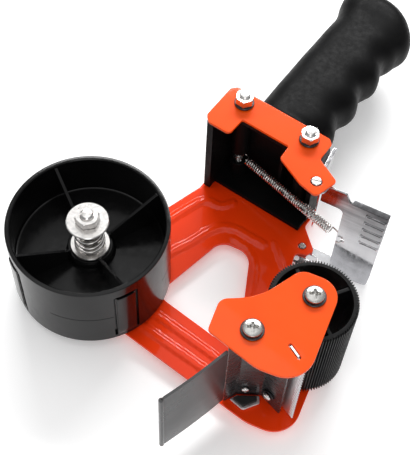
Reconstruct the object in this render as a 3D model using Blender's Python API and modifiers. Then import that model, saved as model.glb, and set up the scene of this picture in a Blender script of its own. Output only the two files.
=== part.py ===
"""Hand-held packing-tape dispenser: a stamped side frame carries a tape drum, a toothed roller, a cutter
head, a sprung tape flap and a moulded handle. Sizes are in millimetres and become metres when built.

The frame lies flat. +Z runs along the drum, roller and flap axes, the origin is on the drum's axis at the
level of the bolt heads under the frame, and +X points from the drum's axis to the roller's axis."""

import math

import bmesh
import bpy
from mathutils import Matrix, Vector

MM = 0.001
GAP = 0.3
SIDES = 32

# Levels along Z.
HEADS_LOW = 0.0
FRAME_LOW = 4.0
SHEET = 1.5
FRAME_TOP = FRAME_LOW + SHEET
RIB_RISE = 0.9
PLATE_LOW = 62.0
PLATE_TOP = PLATE_LOW + SHEET
INNER_LOW = FRAME_TOP + GAP
INNER_TOP = PLATE_LOW - GAP

# Tape drum, sized for a 76 mm cardboard core and 50 mm wide tape.
DRUM_R = 38.0
DRUM_WALL = 2.2
DRUM_LOW = 6.8
DRUM_TOP = 51.8
DRUM_FLOOR = 28.0
DRUM_FLOOR_T = 2.0
BOSS_R = 11.0
BOSS_TOP = 33.0
SLEEVE_R = 7.0
GUSSET_ANGLES = (52.0, 142.0, 232.0, 322.0)
FINGER_RISE = 0.8

# Drag brake on the spindle.
SPINDLE_R = 3.0
BRAKE_WASHER_R = 10.0
BRAKE_WASHER_T = 1.2
BRAKE_LOW = BOSS_TOP + GAP
BRAKE_TOP = 53.0
SPINDLE_TOP = 60.0

# Roller.
ROLLER_X = 108.7
ROLLER_R = 20.0
ROLLER_TEETH = 96
ROLLER_LOW = 8.0
ROLLER_TOP = 60.5
AXLE_R = 3.0

# Cutter head.
POST = (90.2, -25.4)
POST_R = 2.5
BLADE_START = Vector((105.6, -24.2))
BLADE_TURN = math.radians(-34.5)
BLADE_WIDTH = 13.6
BLADE_T = 0.8
WIPER_ROOT = Vector((84.0, -37.0))
WIPER_TURN = math.radians(242.4)
WIPER_LENGTH = 35.0

# Handle foot: its own flat frame, u along the two bolts and v out along the grip.
FOOT_CENTRE = Vector((60.0, 81.3))
FOOT_TURN = math.radians(-12.2)
BOLT_HALF_SPAN = 18.45
BOLT_R = 2.5
GRIP_MIDDLE_Z = 33.5

# Tape flap.
FLAP_PIVOT = Vector((89.1, 57.0))
FLAP_TURN = math.radians(-4.0)
FLAP_START = Vector((86.0, 59.2))
FLAP_LENGTH = 40.2
FLAP_T = 1.0
FLAP_PIN_R = 1.8
SPRING_LEVEL = 22.8
SPRING_HOLE_ALONG = 21.6

ORANGE = ("orange_paint", (0.80, 0.10, 0.02), 0.35, 0.0)
BLACK_GLOSS = ("black_gloss", (0.012, 0.012, 0.014), 0.18, 0.0)
BLACK_MATT = ("black_matt", (0.02, 0.02, 0.022), 0.55, 0.0)
BLACK_SHEET = ("black_sheet", (0.025, 0.025, 0.028), 0.35, 0.0)
CHROME = ("chrome", (0.80, 0.80, 0.82), 0.12, 1.0)
ZINC = ("zinc_plate", (0.62, 0.62, 0.64), 0.28, 1.0)
DARK_STEEL = ("dark_steel", (0.05, 0.05, 0.055), 0.4, 1.0)


def clear_scene():
    for obj in list(bpy.data.objects):
        bpy.data.objects.remove(obj, do_unlink=True)


def collection(name, hidden=False):
    made = bpy.data.collections.new(name)
    made.hide_render = hidden
    bpy.context.scene.collection.children.link(made)
    return made


clear_scene()
PARTS = collection("tape_dispenser")
HELPERS = collection("helpers", hidden=True)


# ---------------------------------------------------------------- points and outlines, in millimetres


def polar(radius, degrees, centre=(0.0, 0.0)):
    angle = math.radians(degrees)
    return (centre[0] + radius * math.cos(angle), centre[1] + radius * math.sin(angle))


def circle(centre, radius, count=SIDES):
    return [polar(radius, 360.0 * i / count, centre) for i in range(count)]


def foot(u, v):
    """A point of the handle foot's own frame, in the plane of the side frame."""
    turned_point = Matrix.Rotation(FOOT_TURN, 2) @ Vector((u, v))
    return tuple(FOOT_CENTRE + turned_point)


def rounded(corners, steps=5):
    """The outline through corners (x, y, radius), with an arc at each corner that has a radius."""
    outline = []
    for i, (x, y, radius) in enumerate(corners):
        here = Vector((x, y))
        before = (Vector(corners[i - 1][:2]) - here).normalized()
        after = (Vector(corners[(i + 1) % len(corners)][:2]) - here).normalized()
        if radius <= 0:
            outline.append((x, y))
            continue
        half = before.angle(after) / 2
        centre = here + (before + after).normalized() * (radius / math.sin(half))
        start = here + before * (radius / math.tan(half)) - centre
        end = here + after * (radius / math.tan(half)) - centre
        sweep = start.angle_signed(end)
        for k in range(steps + 1):
            outline.append(tuple(centre + Matrix.Rotation(-sweep * k / steps, 2) @ start))
    return outline


def ribbon(path, width):
    """The outline of a strip of the given width along an open path, with square ends."""
    left, right = [], []
    points = [Vector(p) for p in path]
    for i, point in enumerate(points):
        ahead = (points[min(i + 1, len(points) - 1)] - point).normalized()
        behind = (point - points[max(i - 1, 0)]).normalized()
        along = (ahead + behind).normalized()
        lean = max(along.dot(ahead if ahead.length else behind), 0.3)
        side = Vector((-along.y, along.x)) * (width / 2 / lean)
        left.append(tuple(point + side))
        right.append(tuple(point - side))
    return left + right[::-1]


# ---------------------------------------------------------------- making solids


def material(spec):
    name, colour, roughness, metallic = spec
    if name in bpy.data.materials:
        return bpy.data.materials[name]
    made = bpy.data.materials.new(name)
    made.use_nodes = True
    shader = made.node_tree.nodes["Principled BSDF"]
    shader.inputs["Base Color"].default_value = (*colour, 1.0)
    shader.inputs["Roughness"].default_value = roughness
    shader.inputs["Metallic"].default_value = metallic
    made.diffuse_color = (*colour, 1.0)
    return made


def place(obj, spec, group=None):
    """Puts a new object in its collection with its material, faces outward and curved faces smooth."""
    for old in list(obj.users_collection):
        old.objects.unlink(obj)
    (group or PARTS).objects.link(obj)
    if group is HELPERS:
        obj.hide_render = True
        obj.display_type = "WIRE"
    obj.data.materials.clear()
    obj.data.materials.append(material(spec))
    if obj.type == "MESH":
        obj.data.shade_smooth()
        obj.data.set_sharp_from_angle(angle=math.radians(35))
    return obj


def as_mesh(obj, weld=1e-6):
    """A mesh object in place of a curve or of an object with modifiers, its loose caps welded."""
    bpy.context.view_layer.update()
    evaluated = obj.evaluated_get(bpy.context.evaluated_depsgraph_get())
    mesh = bpy.data.meshes.new_from_object(evaluated)
    shape = bmesh.new()
    shape.from_mesh(mesh)
    bmesh.ops.remove_doubles(shape, verts=shape.verts, dist=weld)
    bmesh.ops.recalc_face_normals(shape, faces=shape.faces)
    shape.to_mesh(mesh)
    shape.free()
    made = bpy.data.objects.new(obj.name, mesh)
    made.matrix_world = obj.matrix_world
    name = obj.name
    bpy.data.objects.remove(obj, do_unlink=True)
    made.name = name
    return made


def plate(name, outline, low, high, spec, holes=(), group=None):
    """A flat outline with holes, filled and extruded from one level to another."""
    curve = bpy.data.curves.new(name, "CURVE")
    curve.dimensions = "2D"
    curve.fill_mode = "BOTH"
    curve.extrude = (high - low) / 2 * MM
    for loop in (outline, *holes):
        spline = curve.splines.new("POLY")
        spline.points.add(len(loop) - 1)
        for point, (x, y) in zip(spline.points, loop):
            point.co = (x * MM, y * MM, 0.0, 1.0)
        spline.use_cyclic_u = True
    obj = bpy.data.objects.new(name, curve)
    bpy.context.scene.collection.objects.link(obj)
    obj.location.z = (low + high) / 2 * MM
    return place(as_mesh(obj), spec, group)


def upright(name, outline, origin, turn, thickness, spec, holes=(), group=None):
    """A flat outline (distance along, height) stood on edge: along runs at angle turn from origin."""
    obj = plate(name, outline, -thickness / 2, thickness / 2, spec, holes, group)
    stand = Matrix.Rotation(turn, 4, "Z") @ Matrix.Rotation(math.radians(90), 4, "X")
    obj.matrix_world = Matrix.Translation((origin[0] * MM, origin[1] * MM, 0.0)) @ stand
    return obj


def turned(name, profile, centre, spec, steps=SIDES, group=None):
    """A closed profile (radius, height) swept round a vertical axis at centre."""
    mesh = bpy.data.meshes.new(name)
    points = [(r * MM, 0.0, z * MM) for r, z in profile]
    edges = [(i, (i + 1) % len(points)) for i in range(len(points))]
    mesh.from_pydata(points, edges, [])
    obj = bpy.data.objects.new(name, mesh)
    bpy.context.scene.collection.objects.link(obj)
    screw = obj.modifiers.new("turn", "SCREW")
    screw.axis = "Z"
    screw.steps = steps
    screw.render_steps = steps
    screw.use_merge_vertices = True
    screw.merge_threshold = 1e-6
    made = as_mesh(obj)
    made.location = (centre[0] * MM, centre[1] * MM, 0.0)
    return place(made, spec, group)


def pin(name, centre, radius, low, high, spec, sides=SIDES, group=None):
    """A plain vertical cylinder or, with six sides, a hexagon."""
    bpy.ops.mesh.primitive_cylinder_add(vertices=sides, radius=radius * MM, depth=(high - low) * MM)
    obj = bpy.context.object
    obj.name = name
    obj.location = (centre[0] * MM, centre[1] * MM, (low + high) / 2 * MM)
    return place(obj, spec, group)


def box(name, centre, size, spec, turn=0.0, group=None):
    bpy.ops.mesh.primitive_cube_add(size=1.0)
    obj = bpy.context.object
    obj.name = name
    obj.data.transform(Matrix.Diagonal((size[0] * MM, size[1] * MM, size[2] * MM, 1.0)))
    obj.location = (centre[0] * MM, centre[1] * MM, centre[2] * MM)
    obj.rotation_euler.z = turn
    return place(obj, spec, group)


def wire(name, points, radius, spec, resolution=2):
    """A round wire through points, with closed ends."""
    curve = bpy.data.curves.new(name, "CURVE")
    curve.dimensions = "3D"
    curve.bevel_depth = radius * MM
    curve.bevel_resolution = resolution
    curve.use_fill_caps = True
    spline = curve.splines.new("POLY")
    spline.points.add(len(points) - 1)
    for point, (x, y, z) in zip(spline.points, points):
        point.co = (x * MM, y * MM, z * MM, 1.0)
    obj = bpy.data.objects.new(name, curve)
    bpy.context.scene.collection.objects.link(obj)
    return place(as_mesh(obj), spec)


def combine(target, operation, others):
    """Joins helpers to the target, or cuts them from it."""
    for other in others:
        step = target.modifiers.new(f"{operation.lower()}_{other.name}", "BOOLEAN")
        step.operation = operation
        step.object = other
        step.solver = "EXACT"
    return target


def baked(obj, spec):
    """The object with its Booleans applied and its helpers gone."""
    used = [step.object for step in obj.modifiers if step.type == "BOOLEAN"]
    made = place(as_mesh(obj), spec)
    for helper in used:
        bpy.data.objects.remove(helper, do_unlink=True)
    return made


# ---------------------------------------------------------------- side frame and top plates


def frame_outline():
    return rounded([
        (-16.3, -12.0, 12.0),
        (27.6, 68.6, 3.0),
        (*foot(-29.0, 6.8), 3.0),
        (*foot(28.4, 6.8), 3.0),
        (*foot(28.4, -7.0), 4.0),
        (95.6, 56.4, 2.0),
        (92.8, 52.8, 2.0),
        (87.2, 52.0, 3.0),
        (88.7, 40.0, 8.0),
        (96.5, 11.0, 4.0),
        (119.2, 10.9, 10.0),
        (119.2, -41.8, 13.0),
        (98.0, -41.8, 20.0),
    ])


def frame_window():
    return rounded([
        (33.0, 1.6, 6.0),
        (50.5, 43.0, 8.0),
        (66.5, 42.0, 9.0),
        (75.5, 10.0, 30.0),
        (79.5, -11.5, 8.0),
        (60.0, -5.8, 30.0),
    ])


def make_side_frame():
    holes = [frame_window(), circle((0, 0), SPINDLE_R + GAP), circle((ROLLER_X, 0), 2.4), circle(POST, 2.4)]
    holes += [circle(foot(side * BOLT_HALF_SPAN, 0), BOLT_R + GAP) for side in (-1, 1)]
    holes.append(circle(FLAP_PIVOT, FLAP_PIN_R + GAP))
    frame = plate("side_frame", frame_outline(), FRAME_LOW, FRAME_TOP, ORANGE, holes)
    ribs = {
        "upper": ([(10.0, 20.0), (22.5, 44.5), (31.5, 60.5), (44.0, 64.5)], 3.6),
        "inner": ([(26.0, 20.0), (39.5, 42.5), (48.5, 51.0), (58.0, 52.6), (73.0, 50.2)], 3.6),
        "lower": ([(36.0, -8.5), (72.0, -16.6)], 3.2),
        "outer": ([(33.0, -16.2), (72.0, -25.6)], 3.2),
    }
    helpers = [
        plate(f"rib_{name}", ribbon(path, width), FRAME_TOP - 0.5, FRAME_TOP + RIB_RISE, ORANGE, (), HELPERS)
        for name, (path, width) in ribs.items()
    ]
    combine(frame, "UNION", helpers)
    return baked(frame, ORANGE)


def blade_slot():
    """The blade tab's oblong slot in the front plate, in line with the blade."""
    middle = BLADE_START + Matrix.Rotation(BLADE_TURN, 2) @ Vector((5.2, 0.0))
    along = Matrix.Rotation(BLADE_TURN, 2)
    corners = [(-4.0, -0.8), (4.0, -0.8), (4.0, 0.8), (-4.0, 0.8)]
    return rounded([(*(middle + along @ Vector(c)), 0.75) for c in corners], 4)


def make_front_plate():
    outline = rounded([
        (73.0, -33.0, 2.5),
        (72.0, -17.0, 5.0),
        (87.0, -9.5, 30.0),
        (99.0, 10.5, 7.0),
        (118.4, 10.5, 10.0),
        (119.0, -40.0, 13.0),
        (98.0, -40.6, 20.0),
    ])
    holes = [circle((ROLLER_X, 0), 2.4), circle(POST, 2.4), blade_slot()]
    return plate("front_plate", outline, PLATE_LOW, PLATE_TOP, ORANGE, holes)


def make_handle_bracket():
    corners = [
        (-29.2, 4.0, 2.0), (-26.6, 6.8, 2.0), (26.0, 6.8, 2.0), (28.4, 4.4, 2.0), (28.4, -6.0, 2.0),
        (41.4, -12.2, 2.0), (37.6, -24.9, 2.5), (28.0, -23.2, 3.0), (12.9, -16.6, 2.0), (12.5, -8.5, 1.0),
        (-13.6, -8.5, 1.0), (-14.0, -19.2, 2.5), (-26.0, -19.2, 3.0), (-29.2, -16.0, 3.0),
    ]
    outline = rounded([(*foot(u, v), radius) for u, v, radius in corners], 4)
    holes = [circle(foot(side * BOLT_HALF_SPAN, 0), BOLT_R + GAP) for side in (-1, 1)]
    holes.append(circle(FLAP_PIVOT, 2.5 + GAP))
    return plate("handle_bracket", outline, PLATE_LOW, PLATE_TOP, ORANGE, holes)


# ---------------------------------------------------------------- fasteners


def make_screw(name, centre, low_side):
    """A Phillips pan screw: the head outside the sheet, the shank in the post or axle."""
    radius, shank, reach = 4.3, 2.0, 7.0
    height = FRAME_LOW - GAP - HEADS_LOW if low_side else 2.2
    profile = [
        (0.0, 0.0), (radius - 0.6, 0.0), (radius, 0.5), (radius, 1.2), (radius - 0.9, height - 0.6),
        (radius - 2.0, height), (0.0, height),
    ]
    if low_side:
        face = FRAME_LOW - GAP
        rings = [(r, face - z) for r, z in profile]
        body = [*rings, (0.0, rings[-1][1])]
        shank_low, shank_high = face - 0.5, FRAME_TOP + reach
    else:
        face = PLATE_TOP + 1.3
        rings = [(r, face + z) for r, z in profile]
        body = rings
        shank_low, shank_high = PLATE_LOW - reach, face + 0.5
    head = turned(name, dict.fromkeys(body), centre, ZINC, 24)
    stem = pin(f"{name}_shank", centre, shank, shank_low, shank_high, ZINC, 16, HELPERS)
    combine(head, "UNION", [stem])
    tip = face - height if low_side else face + height
    arms = [
        box(f"{name}_cross_{k}", (*centre, tip), (4.4, 1.0, 2.4), ZINC, math.radians(45 + 90 * k), HELPERS)
        for k in range(2)
    ]
    combine(head, "DIFFERENCE", arms)
    return baked(head, ZINC)


def make_ring(name, centre, inner, outer, low, high, spec, sides=SIDES):
    profile = [(outer, high), (outer, low), (inner, low), (inner, high)]
    return turned(name, profile, centre, spec, sides)


def make_nut(name, centre, across_flats, bore, low, high):
    corner = across_flats / math.sqrt(3)
    return plate(name, circle(centre, corner, 6), low, high, ZINC, [circle(centre, bore, 16)])


def make_bolt(name, centre, radius, across_flats, top, spec):
    head = pin(name, centre, across_flats / math.sqrt(3), HEADS_LOW, FRAME_LOW - GAP, spec, 6)
    shaft = pin(f"{name}_shaft", centre, radius, FRAME_LOW - 1.0, top, spec, 20, HELPERS)
    combine(head, "UNION", [shaft])
    return baked(head, spec)


def make_handle_fasteners():
    for number, side in ((1, -1), (2, 1)):
        centre = foot(side * BOLT_HALF_SPAN, 0)
        make_bolt(f"handle_bolt_{number}", centre, BOLT_R, 8.0, 70.5, ZINC)
        low = PLATE_TOP + GAP
        make_ring(f"handle_washer_{number}", centre, BOLT_R + GAP, 4.8, low, low + 1.0, DARK_STEEL, 24)
        make_nut(f"handle_nut_{number}", centre, 8.0, BOLT_R + GAP, low + 1.0 + GAP, 69.3)


# ---------------------------------------------------------------- drum and brake


def make_drum():
    inner = DRUM_R - DRUM_WALL
    bore = SPINDLE_R + 0.4
    under = DRUM_FLOOR - DRUM_FLOOR_T
    profile = [
        (inner, DRUM_TOP), (DRUM_R, DRUM_TOP), (DRUM_R, DRUM_LOW), (inner, DRUM_LOW), (inner, under),
        (SLEEVE_R, under), (SLEEVE_R, DRUM_LOW), (bore, DRUM_LOW), (bore, BOSS_TOP), (BOSS_R, BOSS_TOP),
        (BOSS_R, DRUM_FLOOR), (inner, DRUM_FLOOR),
    ]
    drum = turned("core_drum", profile, (0, 0), BLACK_GLOSS, 48)
    gusset = [
        (BOSS_R - 1.5, under + 0.5), (inner + 0.8, under + 0.5), (inner + 0.8, DRUM_TOP - 1.5),
        (BOSS_R - 1.5, BOSS_TOP + 1.0 - 1.5),
    ]
    helpers = []
    for k, degrees in enumerate(GUSSET_ANGLES):
        turn = math.radians(degrees)
        helpers.append(upright(f"gusset_{k}", gusset, (0, 0), turn, 1.8, BLACK_GLOSS, (), HELPERS))
        middle = polar(DRUM_R - 0.5, degrees)
        size = (2 * FINGER_RISE + 1.0, 9.0, 34.0)
        helpers.append(box(f"finger_{k}", (*middle, 27.0), size, BLACK_GLOSS, turn, HELPERS))
    combine(drum, "UNION", helpers)
    return baked(drum, BLACK_GLOSS)


def make_brake():
    make_bolt("spindle_bolt", (0, 0), SPINDLE_R, 10.0, SPINDLE_TOP, ZINC)
    bore = SPINDLE_R + GAP
    low_top = BRAKE_LOW + BRAKE_WASHER_T
    make_ring("spindle_washer_low", (0, 0), bore, BRAKE_WASHER_R - 0.5, BRAKE_LOW, low_top, CHROME)
    high_top = BRAKE_TOP + BRAKE_WASHER_T
    make_ring("spindle_washer_top", (0, 0), bore, BRAKE_WASHER_R, BRAKE_TOP, high_top, CHROME)
    make_nut("spindle_nut", (0, 0), 10.0, bore, high_top + GAP, 58.4)
    turns, per_turn, thread = 5, 14, 0.75
    low, high = low_top + GAP + thread, BRAKE_TOP - GAP - thread
    points = []
    for i in range(turns * per_turn + 1):
        share = i / (turns * per_turn)
        radius = 6.4 - 1.2 * share
        points.append((*polar(radius, 360.0 * i / per_turn), low + (high - low) * share))
    wire("tension_spring", points, thread, ZINC)


# ---------------------------------------------------------------- roller


def make_roller():
    centre = (ROLLER_X, 0.0)
    outline = []
    for i in range(ROLLER_TEETH):
        step = 360.0 / ROLLER_TEETH
        outline.append(polar(ROLLER_R, i * step, centre))
        outline.append(polar(ROLLER_R - 0.7, (i + 0.5) * step, centre))
    holes = [circle(centre, AXLE_R + 0.4, 24)]
    inner, hub, half_spoke = 17.4, 5.6, 0.9
    for quarter in range(4):
        start = quarter * 90.0 + 45.0
        outer_lean = math.degrees(math.asin(half_spoke / inner))
        hub_lean = math.degrees(math.asin(half_spoke / hub))
        span_out, span_in = 90.0 - 2 * outer_lean, 90.0 - 2 * hub_lean
        arc = [polar(inner, start + outer_lean + span_out * k / 8, centre) for k in range(9)]
        arc += [polar(hub, start + hub_lean + span_in * (1 - k / 3), centre) for k in range(4)]
        holes.append(arc)
    plate("roller", outline, ROLLER_LOW, ROLLER_TOP, BLACK_GLOSS, holes)


def make_post(name, centre, radius, spec, sides):
    """A turned post or axle between the sheets, bored at both ends for its screws."""
    bore, depth = 2.3, 8.0
    post = pin(name, centre, radius, INNER_LOW, INNER_TOP, spec, sides)
    low = pin(f"{name}_bore_low", centre, bore, 0.0, INNER_LOW + depth, spec, 16, HELPERS)
    top = pin(f"{name}_bore_top", centre, bore, INNER_TOP - depth, PLATE_TOP, spec, 16, HELPERS)
    combine(post, "DIFFERENCE", [low, top])
    return baked(post, spec)


def make_roller_mounting():
    make_post("roller_axle", (ROLLER_X, 0.0), AXLE_R, ZINC, 24)
    make_post("spacer_post", POST, POST_R + 0.4, ZINC, 24)
    for name, centre in (("axle", (ROLLER_X, 0.0)), ("post", POST)):
        low = PLATE_TOP + GAP
        make_ring(f"{name}_washer_top", centre, 2.4, 5.2, low, low + 0.7, DARK_STEEL, 24)
        make_screw(f"{name}_screw_top", centre, low_side=False)
        make_screw(f"{name}_screw_low", centre, low_side=True)


# ---------------------------------------------------------------- cutter head


def make_blade():
    """Saw-toothed strip on edge between the sheets, with a tab in the front plate's slot."""
    teeth, low, high = 26, INNER_LOW, INNER_TOP
    depth = 1.2
    pitch = (high - low) / teeth
    outline = [(0.0, high), (0.0, low)]
    for i in range(teeth):
        outline.append((BLADE_WIDTH - depth, low + i * pitch))
        outline.append((BLADE_WIDTH, low + (i + 0.5) * pitch))
    outline.append((BLADE_WIDTH - depth, high))
    outline += [(8.4, high), (8.4, PLATE_TOP), (2.0, PLATE_TOP), (2.0, high)]
    upright("blade", outline, BLADE_START, BLADE_TURN, BLADE_T, CHROME)


HOLDER_PATH = [(84.4, -36.4), (88.6, -30.6), (99.5, -26.4), (110.4, -31.6)]


def make_holder():
    """Black folded sheet in front of the blade, its foot, the pad on it and the small screws."""
    plate("blade_holder", ribbon(HOLDER_PATH, 1.2), INNER_LOW, INNER_TOP, BLACK_SHEET)
    foot_outline = [
        (86.9, -35.0, 0.5), (94.5, -37.6, 2.0), (100.6, -31.4, 1.0), (99.0, -28.0, 0.5), (89.4, -31.9, 0.5),
    ]
    plate("clamp_foot", rounded(foot_outline, 4), INNER_LOW, INNER_LOW + 1.2, CHROME)
    pad_outline = [
        (88.3, -34.8, 0.5), (94.2, -36.4, 1.4), (99.1, -31.3, 0.8), (98.2, -29.3, 0.5), (90.0, -32.6, 0.5),
    ]
    pad_low = INNER_LOW + 1.2 + GAP
    plate("clamp_pad", rounded(pad_outline, 4), pad_low, pad_low + 1.6, BLACK_MATT)


def clamp_place(along, segment):
    """A point of the holder's front face, and the angle at which that face looks out."""
    start, end = Vector(HOLDER_PATH[segment]), Vector(HOLDER_PATH[segment + 1])
    direction = (end - start).normalized()
    outward = Vector((direction.y, -direction.x))
    return start.lerp(end, along), outward


def small_screw(name, along, segment, level, radius, off_face):
    """A short domed screw lying flat, its head's back off_face from the holder's middle."""
    point, outward = clamp_place(along, segment)
    profile = [(0.0, 0.0), (radius, 0.0), (radius, 0.7), (radius - 0.8, 1.6), (0.0, 1.6)]
    screw = turned(name, profile, (0, 0), ZINC, 20)
    lean = Vector((outward.x, outward.y, 0.0)).to_track_quat("Z", "Y").to_matrix().to_4x4()
    at = point + outward * off_face
    screw.matrix_world = Matrix.Translation((at.x * MM, at.y * MM, level * MM)) @ lean
    return screw


def make_clamp_screws():
    small_screw("clamp_screw_1", 0.32, 1, 13.5, 1.9, 0.9)
    small_screw("clamp_screw_2", 0.40, 2, 15.5, 2.3, 1.9)
    point, outward = clamp_place(0.40, 2)
    washer = make_ring("clamp_washer", (0, 0), 1.2, 3.2, 0.0, 0.7, DARK_STEEL, 20)
    lean = Vector((outward.x, outward.y, 0.0)).to_track_quat("Z", "Y").to_matrix().to_4x4()
    at = point + outward * 0.9
    washer.matrix_world = Matrix.Translation((at.x * MM, at.y * MM, 15.5 * MM)) @ lean


def make_wiper():
    low, high = 8.5, 60.5
    sheet = upright(
        "wiper", [(0.0, low), (WIPER_LENGTH, low), (WIPER_LENGTH, high), (0.0, high)],
        WIPER_ROOT, WIPER_TURN, 1.2, BLACK_SHEET,
    )
    tip = WIPER_ROOT + Matrix.Rotation(WIPER_TURN, 2) @ Vector((WIPER_LENGTH, 0.0))
    bead = pin("wiper_bead", tip, 1.1, low, high, BLACK_SHEET, 12, HELPERS)
    combine(sheet, "UNION", [bead])
    return baked(sheet, BLACK_SHEET)


# ---------------------------------------------------------------- handle


def grip_section(v, left, right, half_height, squareness, count=24):
    """One section of the handle across v: a rounded rectangle from u=left to u=right."""
    ring = []
    for i in range(count):
        angle = 2 * math.pi * (i + 0.5) / count
        cos, sin = math.cos(angle), math.sin(angle)
        across = math.copysign(abs(cos) ** (2 / squareness), cos)
        up = math.copysign(abs(sin) ** (2 / squareness), sin)
        u = (left + right) / 2 + across * (right - left) / 2
        ring.append((*foot(u, v), GRIP_MIDDLE_Z + up * half_height))
    return ring


def grip_sections():
    """Sections from the foot's back wall out to the end of the grip, with finger grooves on one side."""
    sections = [(4.5, -28.2, 27.4, 27.4, 12.0), (7.0, -28.2, 27.4, 27.4, 12.0), (11.0, -25.0, 23.0, 22.0, 6.0)]
    groove_pitch, first_bump = 22.4, 27.1
    for k in range(17):
        v = 18.0 + 4.8 * k
        wave = math.cos(2 * math.pi * (v - first_bump) / groove_pitch)
        sections.append((v, -21.4 - 0.4 * math.sin(math.pi * k / 16), 17.6 + 1.8 * wave, 15.0, 2.6))
    sections += [
        (100.5, -22.6, 21.2, 15.6, 2.6), (106.0, -24.6, 20.2, 16.4, 2.6), (112.0, -25.6, 15.6, 16.6, 2.6),
        (116.5, -24.4, 10.6, 14.4, 2.5), (119.2, -19.0, 5.0, 9.5, 2.3),
    ]
    return [grip_section(*section) for section in sections]


def loft(name, rings, spec, group=None):
    """A closed body through rings of equal count, capped at both ends."""
    shape = bmesh.new()
    rows = [[shape.verts.new(Vector(p) * MM) for p in ring] for ring in rings]
    count = len(rows[0])
    for row, ahead in zip(rows, rows[1:]):
        for i in range(count):
            shape.faces.new((row[i], row[(i + 1) % count], ahead[(i + 1) % count], ahead[i]))
    shape.faces.new(rows[0])
    shape.faces.new(rows[-1])
    bmesh.ops.recalc_face_normals(shape, faces=shape.faces)
    mesh = bpy.data.meshes.new(name)
    shape.to_mesh(mesh)
    shape.free()
    obj = bpy.data.objects.new(name, mesh)
    bpy.context.scene.collection.objects.link(obj)
    return place(obj, spec, group)


def foot_block(name, u_range, v_range, low, high):
    middle = foot(sum(u_range) / 2, sum(v_range) / 2)
    size = (u_range[1] - u_range[0], v_range[1] - v_range[0], high - low)
    return box(name, (*middle, (low + high) / 2), size, BLACK_MATT, FOOT_TURN, HELPERS)


def make_handle():
    """Hollow foot open towards the drum, with bolt bosses and a rib, and the solid grip behind it."""
    handle = loft("handle", grip_sections(), BLACK_MATT)
    low, high, wall = INNER_LOW, INNER_TOP, 2.6
    helpers = [
        foot_block("floor", (-27.6, 26.9), (-11.8, 5.4), low, low + wall),
        foot_block("roof", (-27.4, 26.7), (-8.0, 5.7), high - wall, high),
        foot_block("left_wall", (-28.1, -24.6), (-17.0, 5.9), low + 0.1, high - 0.1),
        foot_block("right_wall", (24.8, 27.3), (-5.2, 6.2), low + 0.15, high - 0.15),
        foot_block("rib", (6.0, 7.8), (-1.6, 6.0), low + 1.0, high - 1.0),
    ]
    first, second = foot(-BOLT_HALF_SPAN, 0), foot(BOLT_HALF_SPAN, 0)
    helpers += [
        pin("boss_top", first, 4.4, 26.6, high - 1.4, BLACK_MATT, 24, HELPERS),
        pin("boss_low", first, 4.4, low + 1.2, 19.0, BLACK_MATT, 24, HELPERS),
        pin("boss_right", second, 3.9, low + 1.3, high - 1.3, BLACK_MATT, 24, HELPERS),
    ]
    combine(handle, "UNION", helpers)
    bores = [
        pin(f"bore_{k}", centre, BOLT_R + GAP, 0.0, 70.0, BLACK_MATT, 20, HELPERS)
        for k, centre in enumerate((first, second))
    ]
    combine(handle, "DIFFERENCE", bores)
    return baked(handle, BLACK_MATT)


# ---------------------------------------------------------------- tape flap and its spring


def along_flap(distance, side=0.0):
    return FLAP_START + Matrix.Rotation(FLAP_TURN, 2) @ Vector((distance, side))


def make_flap():
    """Upright sheet with a cut-out, a flange under the side frame, a lug under the bracket and a side leg."""
    low, arm_low, arm_high, top = FRAME_LOW - GAP - 1.2, 47.5, 60.8, 55.5
    step_at, cut_at = 19.2, 18.6
    arm_start = 6.6
    outline = [
        (arm_start, arm_low), (cut_at - 3.0, arm_low), (cut_at, arm_low - 3.0), (cut_at, low), (FLAP_LENGTH, low),
        (FLAP_LENGTH, top), (step_at + 2.5, top), (step_at, top + 2.6), (step_at - 1.5, arm_high),
        (arm_start, arm_high),
    ]
    hole = circle((SPRING_HOLE_ALONG, SPRING_LEVEL), 1.3, 12)
    flap = upright("tape_flap", outline, FLAP_START, FLAP_TURN, FLAP_T, CHROME, [hole])
    flange = rounded([
        (*along_flap(-1.8, 0.5), 1.0), (*along_flap(FLAP_LENGTH, 0.5), 0.0), (*along_flap(FLAP_LENGTH, -7.0), 1.0),
        (*along_flap(22.0, -9.0), 6.0), (*along_flap(4.5, -12.0), 3.0), (*along_flap(-1.8, -10.5), 3.0),
    ], 3)
    oval = [(7.4, -7.2), (12.8, -7.2), (12.8, -4.0), (7.4, -4.0)]
    flange_holes = [
        circle(FLAP_PIVOT, FLAP_PIN_R + GAP, 20),
        circle(along_flap(3.4, -8.8), 1.3, 16),
        rounded([(*along_flap(a, b), 1.5) for a, b in oval], 4),
    ]
    lug = rounded([
        (*along_flap(2.4, 20.8), 0.4), (*along_flap(3.9, 20.8), 0.4), (*along_flap(4.6, 6.0), 2.0),
        (*along_flap(10.0, 0.6), 1.0), (*along_flap(8.6, -6.0), 3.0), (*along_flap(-1.8, -6.0), 3.0),
        (*along_flap(-1.8, 3.0), 2.0), (*along_flap(2.4, 5.0), 1.0),
    ], 3)
    leg = [(9.4, 60.9), (20.6, 60.9), (13.4, 10.0), (9.4, 6.8)]
    helpers = [
        plate("flap_flange", flange, low, low + 1.2, CHROME, flange_holes, HELPERS),
        plate("flap_lug", lug, arm_high - 0.3, INNER_TOP, CHROME, [circle(FLAP_PIVOT, 2.5 + GAP, 20)], HELPERS),
        upright("flap_leg", leg, along_flap(3.2), FLAP_TURN + math.radians(90), FLAP_T, CHROME, (), HELPERS),
        box("flap_hem", (*along_flap((step_at + FLAP_LENGTH) / 2 + 1.2, 1.0), top - 0.5),
            (FLAP_LENGTH - step_at - 2.6, 3.0, 1.0), CHROME, FLAP_TURN, HELPERS),
    ]
    combine(flap, "UNION", helpers)
    return baked(flap, CHROME)


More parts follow.
